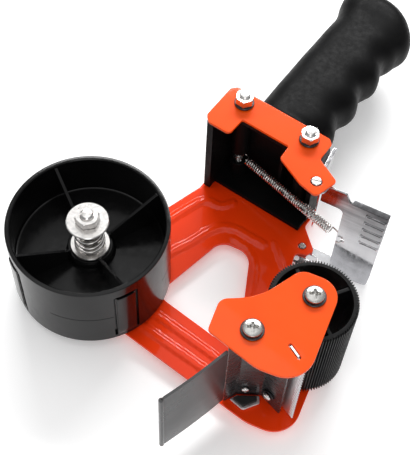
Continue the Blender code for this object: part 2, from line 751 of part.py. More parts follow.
def make_flap_pins():
    top = [(2.5, PLATE_TOP + 0.5), (2.5, 60.2), (3.1, 60.2), (3.1, 58.4), (0.0, 58.4), (0.0, PLATE_TOP + 0.5)]
    turned("flap_pin_top", top, FLAP_PIVOT, ZINC, 24)
    head_top = FRAME_LOW - GAP - 1.2 - GAP
    low = [
        (FLAP_PIN_R, FRAME_TOP + 0.5), (FLAP_PIN_R, head_top), (3.4, head_top), (3.4, HEADS_LOW + 0.4),
        (0.0, HEADS_LOW + 0.4), (0.0, FRAME_TOP + 0.5),
    ]
    turned("flap_pin_low", low, FLAP_PIVOT, ZINC, 24)


def make_extension_spring():
    """Wire hooked round the first handle bolt, wound into the spring's body, and hooked in the flap."""
    thread, coil_r = 0.5, 2.1
    start = Vector((*foot(-BOLT_HALF_SPAN, 0), SPRING_LEVEL))
    end = Vector((*along_flap(SPRING_HOLE_ALONG), SPRING_LEVEL))
    along = (end - start).normalized()
    side = Vector((-along.y, along.x, 0.0))
    up = Vector((0.0, 0.0, 1.0))
    hook_r = BOLT_R + thread + GAP
    points = [start + side * hook_r * math.sin(a) - along * hook_r * math.cos(a)
              for a in (math.radians(-150 + 22 * k) for k in range(14))]
    body_start, body_end = start + along * 6.0, end - along * 8.0
    turns, per_turn = 20, 10
    for i in range(turns * per_turn + 1):
        angle = 2 * math.pi * i / per_turn
        share = i / (turns * per_turn)
        middle = body_start.lerp(body_end, share)
        points.append(middle + (side * math.cos(angle) + up * math.sin(angle)) * coil_r)
    # The far hook comes from behind the sheet, passes straight through its hole and turns back in front.
    hook = [(-2.6, 2.9), (-0.7, 2.3), (0.0, 1.3), (0.0, -1.2), (-0.8, -2.2), (-2.6, -2.3)]
    points += [Vector((*along_flap(SPRING_HOLE_ALONG + a, b), SPRING_LEVEL)) for a, b in hook]
    wire("extension_spring", [tuple(p) for p in points], thread, ZINC)


make_side_frame()
make_front_plate()
make_handle_bracket()
make_handle_fasteners()
make_drum()
make_brake()
make_roller()
make_roller_mounting()
make_blade()
make_holder()
make_clamp_screws()
make_wiper()
make_handle()
make_flap()
make_flap_pins()
make_extension_spring()
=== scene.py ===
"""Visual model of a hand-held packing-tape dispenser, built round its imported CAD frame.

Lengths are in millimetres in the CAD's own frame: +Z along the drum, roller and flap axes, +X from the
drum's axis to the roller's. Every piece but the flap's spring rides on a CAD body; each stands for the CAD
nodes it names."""

import math
from math import radians

import bmesh
import bpy
import numpy as np
from mathutils import Matrix, Vector, geometry


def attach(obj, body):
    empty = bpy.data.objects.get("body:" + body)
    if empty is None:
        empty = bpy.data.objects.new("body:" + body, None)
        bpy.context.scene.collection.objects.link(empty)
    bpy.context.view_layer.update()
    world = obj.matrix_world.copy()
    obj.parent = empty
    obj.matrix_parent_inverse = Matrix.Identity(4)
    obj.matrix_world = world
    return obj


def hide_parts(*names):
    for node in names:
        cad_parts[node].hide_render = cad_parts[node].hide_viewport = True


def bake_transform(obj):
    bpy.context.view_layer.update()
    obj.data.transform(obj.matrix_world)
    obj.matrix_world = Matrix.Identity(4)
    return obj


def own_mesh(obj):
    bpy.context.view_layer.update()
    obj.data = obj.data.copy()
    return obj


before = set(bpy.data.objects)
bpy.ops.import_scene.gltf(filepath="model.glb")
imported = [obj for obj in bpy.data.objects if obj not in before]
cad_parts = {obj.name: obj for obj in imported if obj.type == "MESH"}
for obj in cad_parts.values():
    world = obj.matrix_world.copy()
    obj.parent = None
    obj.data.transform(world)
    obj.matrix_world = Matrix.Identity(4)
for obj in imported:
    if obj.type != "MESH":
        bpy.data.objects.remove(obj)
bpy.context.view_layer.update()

MM = 0.001
GAP = 0.3
WELD = 1e-6

# Levels along Z.
HEADS_LOW, FRAME_LOW, FRAME_TOP = 0.0, 4.0, 5.5
PLATE_LOW, PLATE_TOP = 62.0, 63.5
INNER_LOW, INNER_TOP = 5.8, 61.7

# Drum and brake.
DRUM_R, DRUM_WALL, DRUM_LOW, DRUM_TOP, DRUM_FLOOR = 38.0, 2.2, 6.8, 51.8, 28.0
BOSS_R, BOSS_TOP = 11.0, 33.0
GUSSET_ANGLES = (52.0, 142.0, 232.0, 322.0)
SPINDLE_R, SPINDLE_TOP, SPINDLE_FLATS = 3.0, 60.0, 10.0
DRAG_LOW, DRAG_TOP = 53.0, 54.2

# Roller and cutter head.
ROLLER = (108.7, 0.0)
ROLLER_R, ROLLER_LOW, ROLLER_TOP = 20.0, 8.0, 60.5
POST = (90.2, -25.4)
SCREW_HOLE_R = 2.4
BLADE_START, BLADE_TURN, BLADE_WIDTH = Vector((105.6, -24.2)), radians(-34.5), 13.6
WIPER_ROOT, WIPER_TURN, WIPER_LENGTH = Vector((84.0, -37.0)), radians(242.4), 35.0
WIPER_LOW, WIPER_TOP = 8.5, 60.5
HOLDER_PATH = [(84.4, -36.4), (88.6, -30.6), (99.5, -26.4), (110.4, -31.6)]

# Handle and flap.
FOOT_CENTRE, FOOT_TURN, BOLT_HALF_SPAN, BOLT_R = Vector((60.0, 81.3)), radians(-12.2), 18.45, 2.5
GRIP_MIDDLE_Z, GRIP_NUT_TOP, GRIP_BOLT_TOP, GRIP_FLATS = 33.5, 69.3, 70.5, 8.0
PIN_HOLE_LOW, PIN_HOLE_TOP = 2.1, 2.8
FLAP_PIVOT, FLAP_START, FLAP_TURN = Vector((89.1, 57.0)), Vector((86.0, 59.2)), radians(-4.0)
FLAP_LENGTH, FLAP_T = 40.2, 1.0
SPRING_LEVEL, SPRING_HOLE_ALONG = 22.8, 21.6


# ---- points and outlines


def polar(radius, degrees, centre=(0.0, 0.0)):
    angle = radians(degrees)
    return (centre[0] + radius * math.cos(angle), centre[1] + radius * math.sin(angle))


def circle(centre, radius, count=64):
    return [polar(radius, 360.0 * i / count, centre) for i in range(count)]


def oblong(half_x, half_y):
    return [(-half_x, -half_y), (half_x, -half_y), (half_x, half_y), (-half_x, half_y)]


def dome(radius, base, rise):
    """Profile of a round crown, from its top down to its rim."""
    return [(radius * math.sin(a), base + rise * math.cos(a)) for a in map(radians, range(0, 91, 10))]


def foot(u, v):
    return tuple(FOOT_CENTRE + Matrix.Rotation(FOOT_TURN, 2) @ Vector((u, v)))


def along_flap(distance, side=0.0):
    return FLAP_START + Matrix.Rotation(FLAP_TURN, 2) @ Vector((distance, side))


def rounded(corners, steps=12):
    """The outline through corners (x, y, radius), with an arc at each corner that has a radius."""
    outline = []
    for i, (x, y, radius) in enumerate(corners):
        here = Vector((x, y))
        before = (Vector(corners[i - 1][:2]) - here).normalized()
        after = (Vector(corners[(i + 1) % len(corners)][:2]) - here).normalized()
        if radius <= 0:
            outline.append((x, y))
            continue
        half = before.angle(after) / 2
        centre = here + (before + after).normalized() * (radius / math.sin(half))
        start = here + before * (radius / math.tan(half)) - centre
        end = here + after * (radius / math.tan(half)) - centre
        sweep = start.angle_signed(end)
        for k in range(steps + 1):
            outline.append(tuple(centre + Matrix.Rotation(-sweep * k / steps, 2) @ start))
    return outline


def smooth_path(points, steps=8):
    """A smooth open curve through points (Catmull-Rom)."""
    pts = [np.array(p, float) for p in points]
    pts = [2 * pts[0] - pts[1], *pts, 2 * pts[-1] - pts[-2]]
    out = []
    for a, b, c, d in zip(pts, pts[1:], pts[2:], pts[3:]):
        for k in range(steps):
            t = k / steps
            out.append(0.5 * (2 * b + (c - a) * t + (2 * a - 5 * b + 4 * c - d) * t * t
                              + (3 * b - a - 3 * c + d) * t ** 3))
    out.append(pts[-2])
    return [tuple(p) for p in out]


def ribbon(path, width):
    """The outline of a strip of the given width along an open path, with square ends."""
    left, right = [], []
    points = [Vector(p) for p in path]
    for i, point in enumerate(points):
        ahead = (points[min(i + 1, len(points) - 1)] - point).normalized()
        behind = (point - points[max(i - 1, 0)]).normalized()
        along = (ahead + behind).normalized()
        lean = max(along.dot(ahead if ahead.length else behind), 0.3)
        side = Vector((-along.y, along.x)) * (width / 2 / lean)
        left.append(tuple(point + side))
        right.append(tuple(point - side))
    return left + right[::-1]


# ---- closed shells, in metres


def new_object(name, mesh):
    obj = bpy.data.objects.new(name, mesh)
    bpy.context.scene.collection.objects.link(obj)
    return obj


def object_from(shape, name):
    """The mesh object made from a bmesh, which is freed."""
    mesh = bpy.data.meshes.new(name)
    shape.to_mesh(mesh)
    shape.free()
    return new_object(name, mesh)


def moved(x, y, z):
    return Matrix.Translation((x * MM, y * MM, z * MM))


def evaluated(obj):
    """A mesh object in place of a curve or an object with modifiers, welded and with faces outward."""
    bpy.context.view_layer.update()
    graph = bpy.context.evaluated_depsgraph_get()
    mesh = bpy.data.meshes.new_from_object(obj.evaluated_get(graph))
    shape = bmesh.new()
    shape.from_mesh(mesh)
    bmesh.ops.remove_doubles(shape, verts=shape.verts, dist=WELD)
    bmesh.ops.recalc_face_normals(shape, faces=shape.faces)
    shape.to_mesh(mesh)
    shape.free()
    name, world = obj.name, obj.matrix_world.copy()
    bpy.data.objects.remove(obj, do_unlink=True)
    made = new_object(name, mesh)
    made.matrix_world = world
    return made


def plate(outline, low, high, holes=(), bevel=0.25):
    """A flat outline with holes, extruded from one level to another, its edges rounded."""
    curve = bpy.data.curves.new("plate", "CURVE")
    curve.dimensions = "2D"
    curve.fill_mode = "BOTH"
    curve.extrude = ((high - low) / 2 - bevel) * MM
    curve.bevel_depth = bevel * MM
    curve.bevel_resolution = 2
    curve.offset = -bevel * MM
    for loop in (outline, *holes):
        spline = curve.splines.new("POLY")
        spline.points.add(len(loop) - 1)
        for point, (x, y) in zip(spline.points, loop):
            point.co = (x * MM, y * MM, 0.0, 1.0)
        spline.use_cyclic_u = True
    obj = new_object("plate", curve)
    obj.location.z = (low + high) / 2 * MM
    return evaluated(obj)


def upright(outline, origin, turn, thickness, holes=(), bevel=0.2):
    """A flat outline (distance along, height) stood on edge at angle turn from origin."""
    obj = plate(outline, -thickness / 2, thickness / 2, holes, bevel)
    stand = Matrix.Rotation(turn, 4, "Z") @ Matrix.Rotation(radians(90), 4, "X")
    obj.matrix_world = moved(*origin, 0.0) @ stand
    return obj


def shell_from_rings(rings, closed_tube=False):
    """A closed shell through rings of equal count: capped at both ends, or joined last to first."""
    shape = bmesh.new()
    rows = [[shape.verts.new(Vector(p) * MM) for p in ring] for ring in rings]
    count = len(rows[0])
    following = rows[1:] + rows[:1] if closed_tube else rows[1:]
    for row, ahead in zip(rows, following):
        for i in range(count):
            shape.faces.new((row[i], row[(i + 1) % count], ahead[(i + 1) % count], ahead[i]))
    if not closed_tube:
        shape.faces.new(rows[0])
        shape.faces.new(rows[-1])
    bmesh.ops.recalc_face_normals(shape, faces=shape.faces)
    return object_from(shape, "shell")


def turned(profile, centre=(0.0, 0.0), steps=96):
    """A closed profile (radius, height) swept round a vertical axis. Radius 0 gives a solid."""
    shape = bmesh.new()
    rows = []
    for radius, z in profile:
        if radius < 1e-6:
            rows.append([shape.verts.new((centre[0] * MM, centre[1] * MM, z * MM))] * steps)
            continue
        ring = (polar(radius, 360.0 * i / steps, centre) for i in range(steps))
        rows.append([shape.verts.new((x * MM, y * MM, z * MM)) for x, y in ring])
    for row, ahead in zip(rows, rows[1:] + rows[:1]):
        for i in range(steps):
            k = (i + 1) % steps
            corners = list(dict.fromkeys((row[i], row[k], ahead[k], ahead[i])))
            if len(corners) > 2:
                shape.faces.new(corners)
    bmesh.ops.recalc_face_normals(shape, faces=shape.faces)
    return object_from(shape, "turned")


def block(centre, size, turn=0.0, bevel=0.3):
    """A box with rounded edges."""
    obj = plate(oblong(size[0] / 2, size[1] / 2), -size[2] / 2, size[2] / 2, (), bevel)
    obj.matrix_world = Matrix.Translation(Vector(centre) * MM) @ Matrix.Rotation(turn, 4, "Z")
    return obj


def tube(points, radius, sides=10):
    """A round wire through points with closed ends."""
    pts = [Vector(p) for p in points]
    tangent = (pts[1] - pts[0]).normalized()
    normal = tangent.orthogonal().normalized()
    rings = []
    for i, point in enumerate(pts):
        ahead = pts[min(i + 1, len(pts) - 1)] - pts[max(i - 1, 0)]
        ahead.normalize()
        normal = (normal - ahead * normal.dot(ahead)).normalized()
        other = ahead.cross(normal)
        rings.append([point + (normal * math.cos(a) + other * math.sin(a)) * radius
                      for a in (2 * math.pi * k / sides for k in range(sides))])
    return shell_from_rings(rings)


def hex_ring(centre, apothem, limit, z, turn, count=72):
    ring = []
    for i in range(count):
        degrees = 360.0 * i / count
        lean = radians((degrees + 30.0) % 60.0 - 30.0)
        ring.append((*polar(min(apothem / math.cos(lean), limit), degrees + turn, centre), z))
    return ring


def hex_nut(centre, across_flats, low, high, bore, turn=0.0):
    """A hexagon nut with turned-down corners and a chamfered bore."""
    apothem = across_flats / 2
    corner = apothem / math.cos(radians(30))
    rings = [hex_ring(centre, apothem, corner * share, z, turn) for share, z in (
        (0.90, low), (0.985, low + 0.35), (1.0, low + 0.6),
        (1.0, high - 0.6), (0.985, high - 0.35), (0.90, high),
    )]
    for radius, z in ((bore + 0.4, high), (bore, high - 0.4), (bore, low + 0.4), (bore + 0.4, low)):
        rings.append([(*polar(radius, 5.0 * i + turn, centre), z) for i in range(72)])
    return shell_from_rings(rings, closed_tube=True)


def hex_head(centre, across_flats, low, high, turn=0.0):
    """A solid hexagon head, its outer corners turned down."""
    apothem = across_flats / 2
    corner = apothem / math.cos(radians(30))
    return shell_from_rings([hex_ring(centre, apothem * flat, corner * tip, z, turn) for flat, tip, z in (
        (0.97, 0.88, low), (1.0, 0.97, low + 0.45), (1.0, 1.0, low + 0.8), (1.0, 1.0, high),
    )])


def threaded(centre, radius, low, high, pitch=0.9, depth=0.28, steps=48):
    """A shank whose surface has thread grooves, with a chamfered end at the top."""
    profile = [(0.0, low), (radius, low)]
    z = low + pitch
    while z < high - 1.4:
        profile += [(radius, z), (radius - depth, z + pitch * 0.5)]
        z += pitch
    profile += [(radius, high - 0.8), (radius - 0.7, high - 0.1), (radius - 1.1, high), (0.0, high)]
    return turned(profile, centre, steps)


def ring_washer(centre, inner, outer, low, high, soft=0.25, steps=72):
    profile = [
        (inner + soft, high), (outer - soft, high), (outer, high - soft), (outer, low + soft),
        (outer - soft, low), (inner + soft, low), (inner, low + soft), (inner, high - soft),
    ]
    return turned(profile, centre, steps)


def cut(target, others):
    """Takes helper shells away from the target, exactly."""
    for other in others:
        step = target.modifiers.new("cut", "BOOLEAN")
        step.operation = "DIFFERENCE"
        step.object = other
        step.solver = "EXACT"
    made = evaluated(target)
    for other in others:
        bpy.data.objects.remove(other, do_unlink=True)
    return made


def piece(name, shells, finish, nodes, body="frame", sharp=32.0):
    """Joins closed shells into one visible piece that rides on a body and stands for CAD nodes."""
    look = LOOKS[finish]
    joined = bmesh.new()
    for shell in shells:
        shell.data.transform(shell.matrix_world)
        joined.from_mesh(shell.data)
        bpy.data.objects.remove(shell, do_unlink=True)
    obj = object_from(joined, name)
    obj.data.shade_smooth()
    obj.data.set_sharp_from_angle(angle=radians(sharp))
    obj.data.materials.append(look)
    normals = obj.modifiers.new("normals", "WEIGHTED_NORMAL")
    normals.keep_sharp = True
    if body:
        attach(obj, body)
    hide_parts(*nodes)
    return obj


# ---- materials


class Look:
    """A principled material with helpers for procedural detail in object space (metres)."""

    def __init__(self, name, colour, roughness, metallic=0.0, slot=None, **sockets):
        self.material = bpy.data.materials.new(f"{name}_finish")
        self.material["slot"] = slot or name
        self.material.use_nodes = True
        tree = self.material.node_tree
        self.nodes, self.links = tree.nodes, tree.links
        self.shader = self.nodes["Principled BSDF"]
        self.colour = colour
        self.shader.inputs["Base Color"].default_value = (*colour, 1.0)
        self.shader.inputs["Roughness"].default_value = roughness
        self.shader.inputs["Metallic"].default_value = metallic
        for key, value in sockets.items():
            self.shader.inputs[key.replace("_", " ")].default_value = value
        self.place = self.nodes.new("ShaderNodeTexCoord").outputs["Object"]
        self.bump_output = None

    def node(self, kind, **inputs):
        """A node with each input linked to the socket given for it, or set to the value."""
        made = self.nodes.new(kind)
        for key, value in inputs.items():
            socket = made.inputs[key.replace("_", " ")]
            if isinstance(value, bpy.types.NodeSocket):
                self.links.new(value, socket)
            else:
                socket.default_value = value
        return made

    def noise(self, scale, detail=4.0, tall=1.0, roughness=0.55, wide=1.0):
        mapping = self.node("ShaderNodeMapping", Scale=(wide, wide, tall), Vector=self.place)
        return self.node("ShaderNodeTexNoise", Scale=scale, Detail=detail, Roughness=roughness,
                         Vector=mapping.outputs["Vector"]).outputs["Fac"]

    def ranged(self, value, from_low, from_high, to_low, to_high):
        return self.node("ShaderNodeMapRange", Value=value, From_Min=from_low, From_Max=from_high,
                         To_Min=to_low, To_Max=to_high).outputs["Result"]

    def tint(self, mask, colour):
        """Mixes the base colour towards another where the mask is 1."""
        mix = self.nodes.new("ShaderNodeMix")
        mix.data_type = "RGBA"
        base = self.shader.inputs["Base Color"]
        if base.links:
            self.links.new(base.links[0].from_socket, mix.inputs["A"])
        else:
            mix.inputs["A"].default_value = (*self.colour, 1.0)
        mix.inputs["B"].default_value = (*colour, 1.0)
        self.links.new(mask, mix.inputs["Factor"])
        self.links.new(mix.outputs["Result"], base)

    def mottle(self, shade, low, high, most, *grain):
        """Tints towards a shade where noise of this grain (scale, detail, stretch along Z) is high."""
        self.tint(self.ranged(self.noise(*grain), low, high, 0.0, most), shade)

    def gloss(self, to_low, to_high, high, *grain):
        """Roughness that varies with noise of this grain."""
        value = self.ranged(self.noise(*grain), 0.3, high, to_low, to_high)
        self.links.new(value, self.shader.inputs["Roughness"])

    def bump(self, strength, distance, *grain):
        made = self.node("ShaderNodeBump", Strength=strength, Distance=distance, Height=self.noise(*grain))
        if self.bump_output:
            self.links.new(self.bump_output, made.inputs["Normal"])
        self.bump_output = made.outputs["Normal"]
        self.links.new(self.bump_output, self.shader.inputs["Normal"])

    def multiply(self, first, second):
        made = self.nodes.new("ShaderNodeMath")
        made.operation = "MULTIPLY"
        self.links.new(first, made.inputs[0])
        self.links.new(second, made.inputs[1])
        return made.outputs["Value"]

    def painted_reflection_band(self, low, high, most):
        """A mask for a painted reflection: it rises from 0 at one level to its most at another, with streaks
        along the surface.
        """
        parts = self.node("ShaderNodeSeparateXYZ", Vector=self.place)
        rise = self.ranged(parts.outputs["Z"], low, high, 0.0, most)
        return self.multiply(rise, self.ranged(self.noise(60.0, 4.0, 2.5, wide=0.3), 0.35, 0.65, 0.45, 1.0))

    def edges(self, low, high):
        """A mask that is 1 on convex edges, broken up by noise, where a paler colour is painted as a
        highlight.
        """
        pointed = self.nodes.new("ShaderNodeNewGeometry").outputs["Pointiness"]
        edge_highlight = self.ranged(pointed, low, high, 0.0, 1.0)
        return self.multiply(edge_highlight, self.ranged(self.noise(900.0), 0.38, 0.62, 0.0, 1.0))


def make_looks():
    """The finishes by their short names."""
    looks = {}
    # Two copies of one orange paint: the plates' paint, and a darker copy for the frame that is painted
    # shade, standing for the shade the frame lies in under the drum and handle.
    for key, name, colour, shade in (
        ("paint", "orange_paint", (0.90, 0.086, 0.006), (0.86, 0.070, 0.004)),
        ("shaded_paint", "shaded_orange_paint", (0.92, 0.048, 0.002), (0.86, 0.036, 0.0015)),
    ):
        looks[key] = look = Look(name, colour, 0.42, 0.0, "orange_paint", Specular_IOR_Level=0.05,
                                 Coat_Weight=0.40, Coat_Roughness=0.05)
        look.mottle(shade, 0.35, 0.7, 0.6, 45.0, 3.0)
        # Convex edges painted paler: a painted highlight along them.
        look.tint(look.edges(0.53, 0.60), (0.90, 0.22, 0.10))
        look.gloss(0.28, 0.40, 0.7, 220.0)
        look.bump(0.06, 0.00004, 1400.0, 2.0)

    looks["gloss"] = look = Look("black_gloss", (0.003, 0.003, 0.0032), 0.16, Specular_IOR_Level=0.24)
    look.mottle((0.006, 0.006, 0.0062), 0.4, 0.7, 0.5, 60.0)
    look.gloss(0.12, 0.27, 0.75, 320.0, 5.0)
    look.bump(0.10, 0.0002, 90.0, 2.0)
    look.bump(0.10, 0.00004, 2600.0, 2.0)

    looks["moulding"] = look = Look("black_moulding", (0.004, 0.004, 0.0042), 0.32, Specular_IOR_Level=0.14)
    look.mottle((0.008, 0.008, 0.0082), 0.4, 0.7, 0.5, 120.0)
    look.gloss(0.26, 0.46, 0.75, 500.0, 4.0)
    look.bump(0.2, 0.00006, 1800.0, 3.0)

    looks["matt"] = look = Look("black_matt", (0.004, 0.004, 0.0042), 0.50, Specular_IOR_Level=0.06)
    look.mottle((0.008, 0.008, 0.0082), 0.4, 0.7, 0.5, 70.0)
    look.gloss(0.36, 0.54, 0.75, 420.0, 4.0)
    look.bump(0.25, 0.00010, 2300.0, 3.0, 1.0, 0.7)

    looks["sheet"] = look = Look("black_sheet", (0.020, 0.020, 0.021), 0.27)
    look.mottle((0.040, 0.040, 0.042), 0.42, 0.72, 0.6, 90.0, 4.0, 0.25)
    look.gloss(0.20, 0.38, 0.75, 260.0, 6.0, 3.0)
    look.bump(0.04, 0.00006, 180.0, 3.0, 2.0)

    looks["wiper"] = look = Look("wiper_sheet", (0.030, 0.030, 0.031), 0.24, 0.0, "black_sheet",
                                 Specular_IOR_Level=0.55)
    look.mottle((0.045, 0.045, 0.046), 0.5, 0.8, 0.5, 70.0, 5.0, 0.5)
    look.gloss(0.26, 0.34, 0.75, 40.0, 3.0, 2.0)
    look.bump(0.04, 0.0003, 40.0, 1.0)

    looks["blade"] = look = Look("blade_steel", (0.86, 0.86, 0.87), 0.42, 1.0, "bright_steel")
    look.mottle((0.66, 0.66, 0.67), 0.45, 0.8, 0.5, 300.0, 4.0, 6.0)
    look.gloss(0.34, 0.52, 0.75, 600.0, 4.0, 8.0)

    looks["rubber"] = look = Look("black_rubber", (0.012, 0.012, 0.012), 0.72)
    look.gloss(0.62, 0.82, 0.7, 900.0)
    look.bump(0.4, 0.0001, 1500.0, 3.0)

    looks["chrome"] = look = Look("chrome", (0.80, 0.80, 0.82), 0.10, 1.0)
    look.mottle((0.62, 0.62, 0.64), 0.45, 0.75, 0.5, 160.0, 4.0, 0.3)
    # Painted reflection: the chrome is painted dark towards its top, as if mirroring dark surroundings
    # there.
    look.tint(look.painted_reflection_band(0.022, 0.050, 0.90), (0.07, 0.07, 0.075))
    look.gloss(0.07, 0.22, 0.75, 420.0, 5.0, 0.2)
    look.bump(0.18, 0.0004, 75.0, 2.0)

    looks["zinc"] = look = Look("zinc_plate", (0.72, 0.70, 0.68), 0.20, 1.0)
    look.mottle((0.45, 0.45, 0.46), 0.45, 0.75, 0.55, 700.0, 4.0)
    look.gloss(0.16, 0.28, 0.75, 1100.0, 4.0)
    look.bump(0.03, 0.00003, 900.0, 2.0)

    looks["steel"] = look = Look("bright_steel", (0.48, 0.47, 0.45), 0.22, 1.0)
    look.mottle((0.30, 0.30, 0.30), 0.45, 0.8, 0.5, 800.0, 4.0)
    look.gloss(0.16, 0.36, 0.75, 900.0, 4.0, 0.2)
    look.bump(0.05, 0.00003, 900.0, 3.0, 0.15)

    looks["dark"] = look = Look("dark_steel", (0.060, 0.060, 0.064), 0.34, 1.0)
    look.mottle((0.13, 0.13, 0.135), 0.45, 0.75, 0.6, 900.0, 4.0)
    look.gloss(0.26, 0.5, 0.75, 1000.0, 4.0)
    look.bump(0.2, 0.00005, 1800.0, 2.0)
    return {key: look.material for key, look in looks.items()}


LOOKS = make_looks()


# ---- stamped side frame


def frame_outline():
    return rounded([
        (-16.3, -12.0, 12.0), (27.6, 68.6, 3.0), (*foot(-29.0, 6.8), 3.0), (*foot(28.4, 6.8), 3.0),
        (*foot(28.4, -7.0), 4.0), (95.6, 56.4, 2.0), (92.8, 52.8, 2.0), (87.2, 52.0, 3.0), (88.7, 40.0, 8.0),
        (96.5, 11.0, 4.0), (119.2, 10.9, 10.0), (119.2, -41.8, 13.0), (98.0, -41.8, 20.0),
    ])


def frame_window():
    return rounded([
        (33.0, 1.6, 6.0), (50.5, 43.0, 8.0), (66.5, 42.0, 9.0), (75.5, 10.0, 30.0), (79.5, -11.5, 8.0),
        (60.0, -5.8, 30.0),
    ])


# Shares of a rib's half-width at which its flat crest ends and its flank meets the sheet.
RIB_CREST, RIB_FOOT = 0.62, 1.20
# Path, half-width and rise of each pressed rib.
RIBS = [
    ([(10.0, 22.0), (20.5, 41.5), (29.6, 57.6), (34.6, 62.2), (42.0, 62.4), (47.0, 66.5)], 2.2, 0.9),
    ([(24.0, 17.5), (37.2, 36.2), (42.2, 45.0), (47.4, 50.6), (54.0, 52.3), (62.0, 51.2), (70.5, 49.8)],
     2.3, 0.9),
    ([(56.0, 46.6), (63.0, 44.6), (69.0, 39.6), (72.6, 32.0), (75.0, 21.0), (78.4, 8.0)], 1.7, 0.55),
    ([(30.0, -6.9), (43.5, -10.2), (70.0, -17.0), (82.0, -20.2)], 2.1, 0.9),
    ([(24.0, -14.2), (39.5, -18.2), (66.0, -24.5), (80.0, -28.0)], 2.2, 0.9),
    ([(75.2, 53.0), (80.1, 46.9), (84.3, 41.3)], 1.3, 0.6),
]


def inside(points, loop):
    """Which points lie inside a closed loop."""
    x, y = points[:, 0], points[:, 1]
    hit = np.zeros(len(points), bool)
    for (ax, ay), (bx, by) in zip(loop, loop[1:] + loop[:1]):
        crosses = (ay > y) != (by > y)
        with np.errstate(divide="ignore", invalid="ignore"):
            hit ^= crosses & (x < (bx - ax) * (y - ay) / (by - ay) + ax)
    return hit


def within(points, outline, holes):
    """Which points lie inside an outline and outside its holes."""
    found = inside(points, outline)
    for hole in holes:
        found &= ~inside(points, hole)
    return found


def distance_to(points, path):
    """Distance from each point to an open path."""
    best = np.full(len(points), 1e9)
    for a, b in zip(path, path[1:]):
        a, b = np.array(a), np.array(b)
        along = b - a
        t = np.clip((points - a) @ along / max(along @ along, 1e-9), 0, 1)
        best = np.minimum(best, np.linalg.norm(points - a - t[:, None] * along, axis=1))
    return best


def rib_height(points):
    """Flat-topped ribs with straight flanks from their foot line up to their crest line."""
    height = np.zeros(len(points))
    for path, half, rise in RIBS:
        share = (RIB_FOOT - distance_to(points, smooth_path(path)) / half) / (RIB_FOOT - RIB_CREST)
        height = np.maximum(height, rise * np.clip(share, 0, 1))
    return height


def around(path, distance, steps=6):
    """The closed line at a distance round an open path, with round ends."""
    sides = ribbon(path, 2 * distance)
    left, right = sides[:len(path)], sides[len(path):]

    def end(middle, start):
        lead = Vector(start) - Vector(middle)
        turns = (Matrix.Rotation(-math.pi * k / steps, 2) for k in range(1, steps))
        return [tuple(Vector(middle) + turn @ lead) for turn in turns]

    return left + end(path[-1], left[-1]) + right + end(path[0], right[-1])


def pressed_sheet(outline, holes, top, thickness, grid=1.1):
    """A sheet with its ribs pressed up, as a fine triangle mesh with rounded edges."""
    ribs = [around(smooth_path(path), half * share)
            for path, half, _ in RIBS for share in (RIB_CREST, RIB_FOOT)]
    loops = [outline, *holes, *ribs]
    xy = np.array(outline)
    low, high = xy.min(0), xy.max(0)
    xs, ys = np.arange(low[0], high[0], grid), np.arange(low[1], high[1], grid * 0.87)
    cells = np.array([(x + (k % 2) * grid / 2, y) for k, y in enumerate(ys) for x in xs])
    keep = within(cells, outline, holes)
    for loop in loops:
        keep &= distance_to(cells, loop + loop[:1]) > grid * 0.45
    points, edges = [], []
    for loop in loops:
        start = len(points)
        points += [Vector(p) for p in loop]
        edges += [(start + i, start + (i + 1) % len(loop)) for i in range(len(loop))]
    points += [Vector(p) for p in cells[keep]]
    made = geometry.delaunay_2d_cdt(points, edges, [], 0, 1e-5)
    flat = np.array([tuple(p) for p in made[0]])
    triangles = np.array(made[2])
    triangles = triangles[within(flat[triangles].mean(1), outline, holes)]
    height = rib_height(flat) + top
    shape = bmesh.new()
    upper = [shape.verts.new((x * MM, y * MM, z * MM)) for (x, y), z in zip(flat, height)]
    lower = [shape.verts.new((x * MM, y * MM, (z - thickness) * MM)) for (x, y), z in zip(flat, height)]
    sides = {}
    for a, b, c in triangles.tolist():
        shape.faces.new((upper[a], upper[b], upper[c]))
        shape.faces.new((lower[c], lower[b], lower[a]))
        for pair in ((a, b), (b, c), (c, a)):
            sides[frozenset(pair)] = None if frozenset(pair) in sides else pair
    rims = []
    for pair in filter(None, sides.values()):
        a, b = pair
        rims.append(shape.faces.new((upper[b], upper[a], lower[a], lower[b])))
    loose = [v for v in shape.verts if not v.link_faces]
    bmesh.ops.delete(shape, geom=loose, context="VERTS")
    bmesh.ops.recalc_face_normals(shape, faces=shape.faces)
    sharp = [e for e in shape.edges if e.calc_face_angle(0.0) > radians(50)
             and (e.link_faces[0] in rims) != (e.link_faces[1] in rims)]
    bmesh.ops.bevel(shape, geom=sharp, offset=0.25 * MM, segments=2, profile=0.5, affect="EDGES",
                    clamp_overlap=True)
    return object_from(shape, "pressed")


def make_frame():
    holes = [frame_window(), circle((0, 0), SPINDLE_R + GAP, 32)]
    holes += [circle(centre, SCREW_HOLE_R, 24) for centre in (ROLLER, POST)]
    holes += [circle(foot(side * BOLT_HALF_SPAN, 0), BOLT_R + GAP, 24) for side in (-1, 1)]
    holes.append(circle(FLAP_PIVOT, PIN_HOLE_LOW, 24))
    sheet = pressed_sheet(frame_outline(), holes, FRAME_TOP, FRAME_TOP - FRAME_LOW)
    # The frame takes the darker copy of the orange paint: painted shade.
    piece("stamped_frame", [sheet], "shaded_paint", ["side_frame"], sharp=40.0)


def blade_slot():
    along = Matrix.Rotation(BLADE_TURN, 2)
    middle = BLADE_START + along @ Vector((5.2, 0.0))
    return rounded([(*(middle + along @ Vector(c)), 0.75) for c in oblong(4.0, 0.8)], 6)


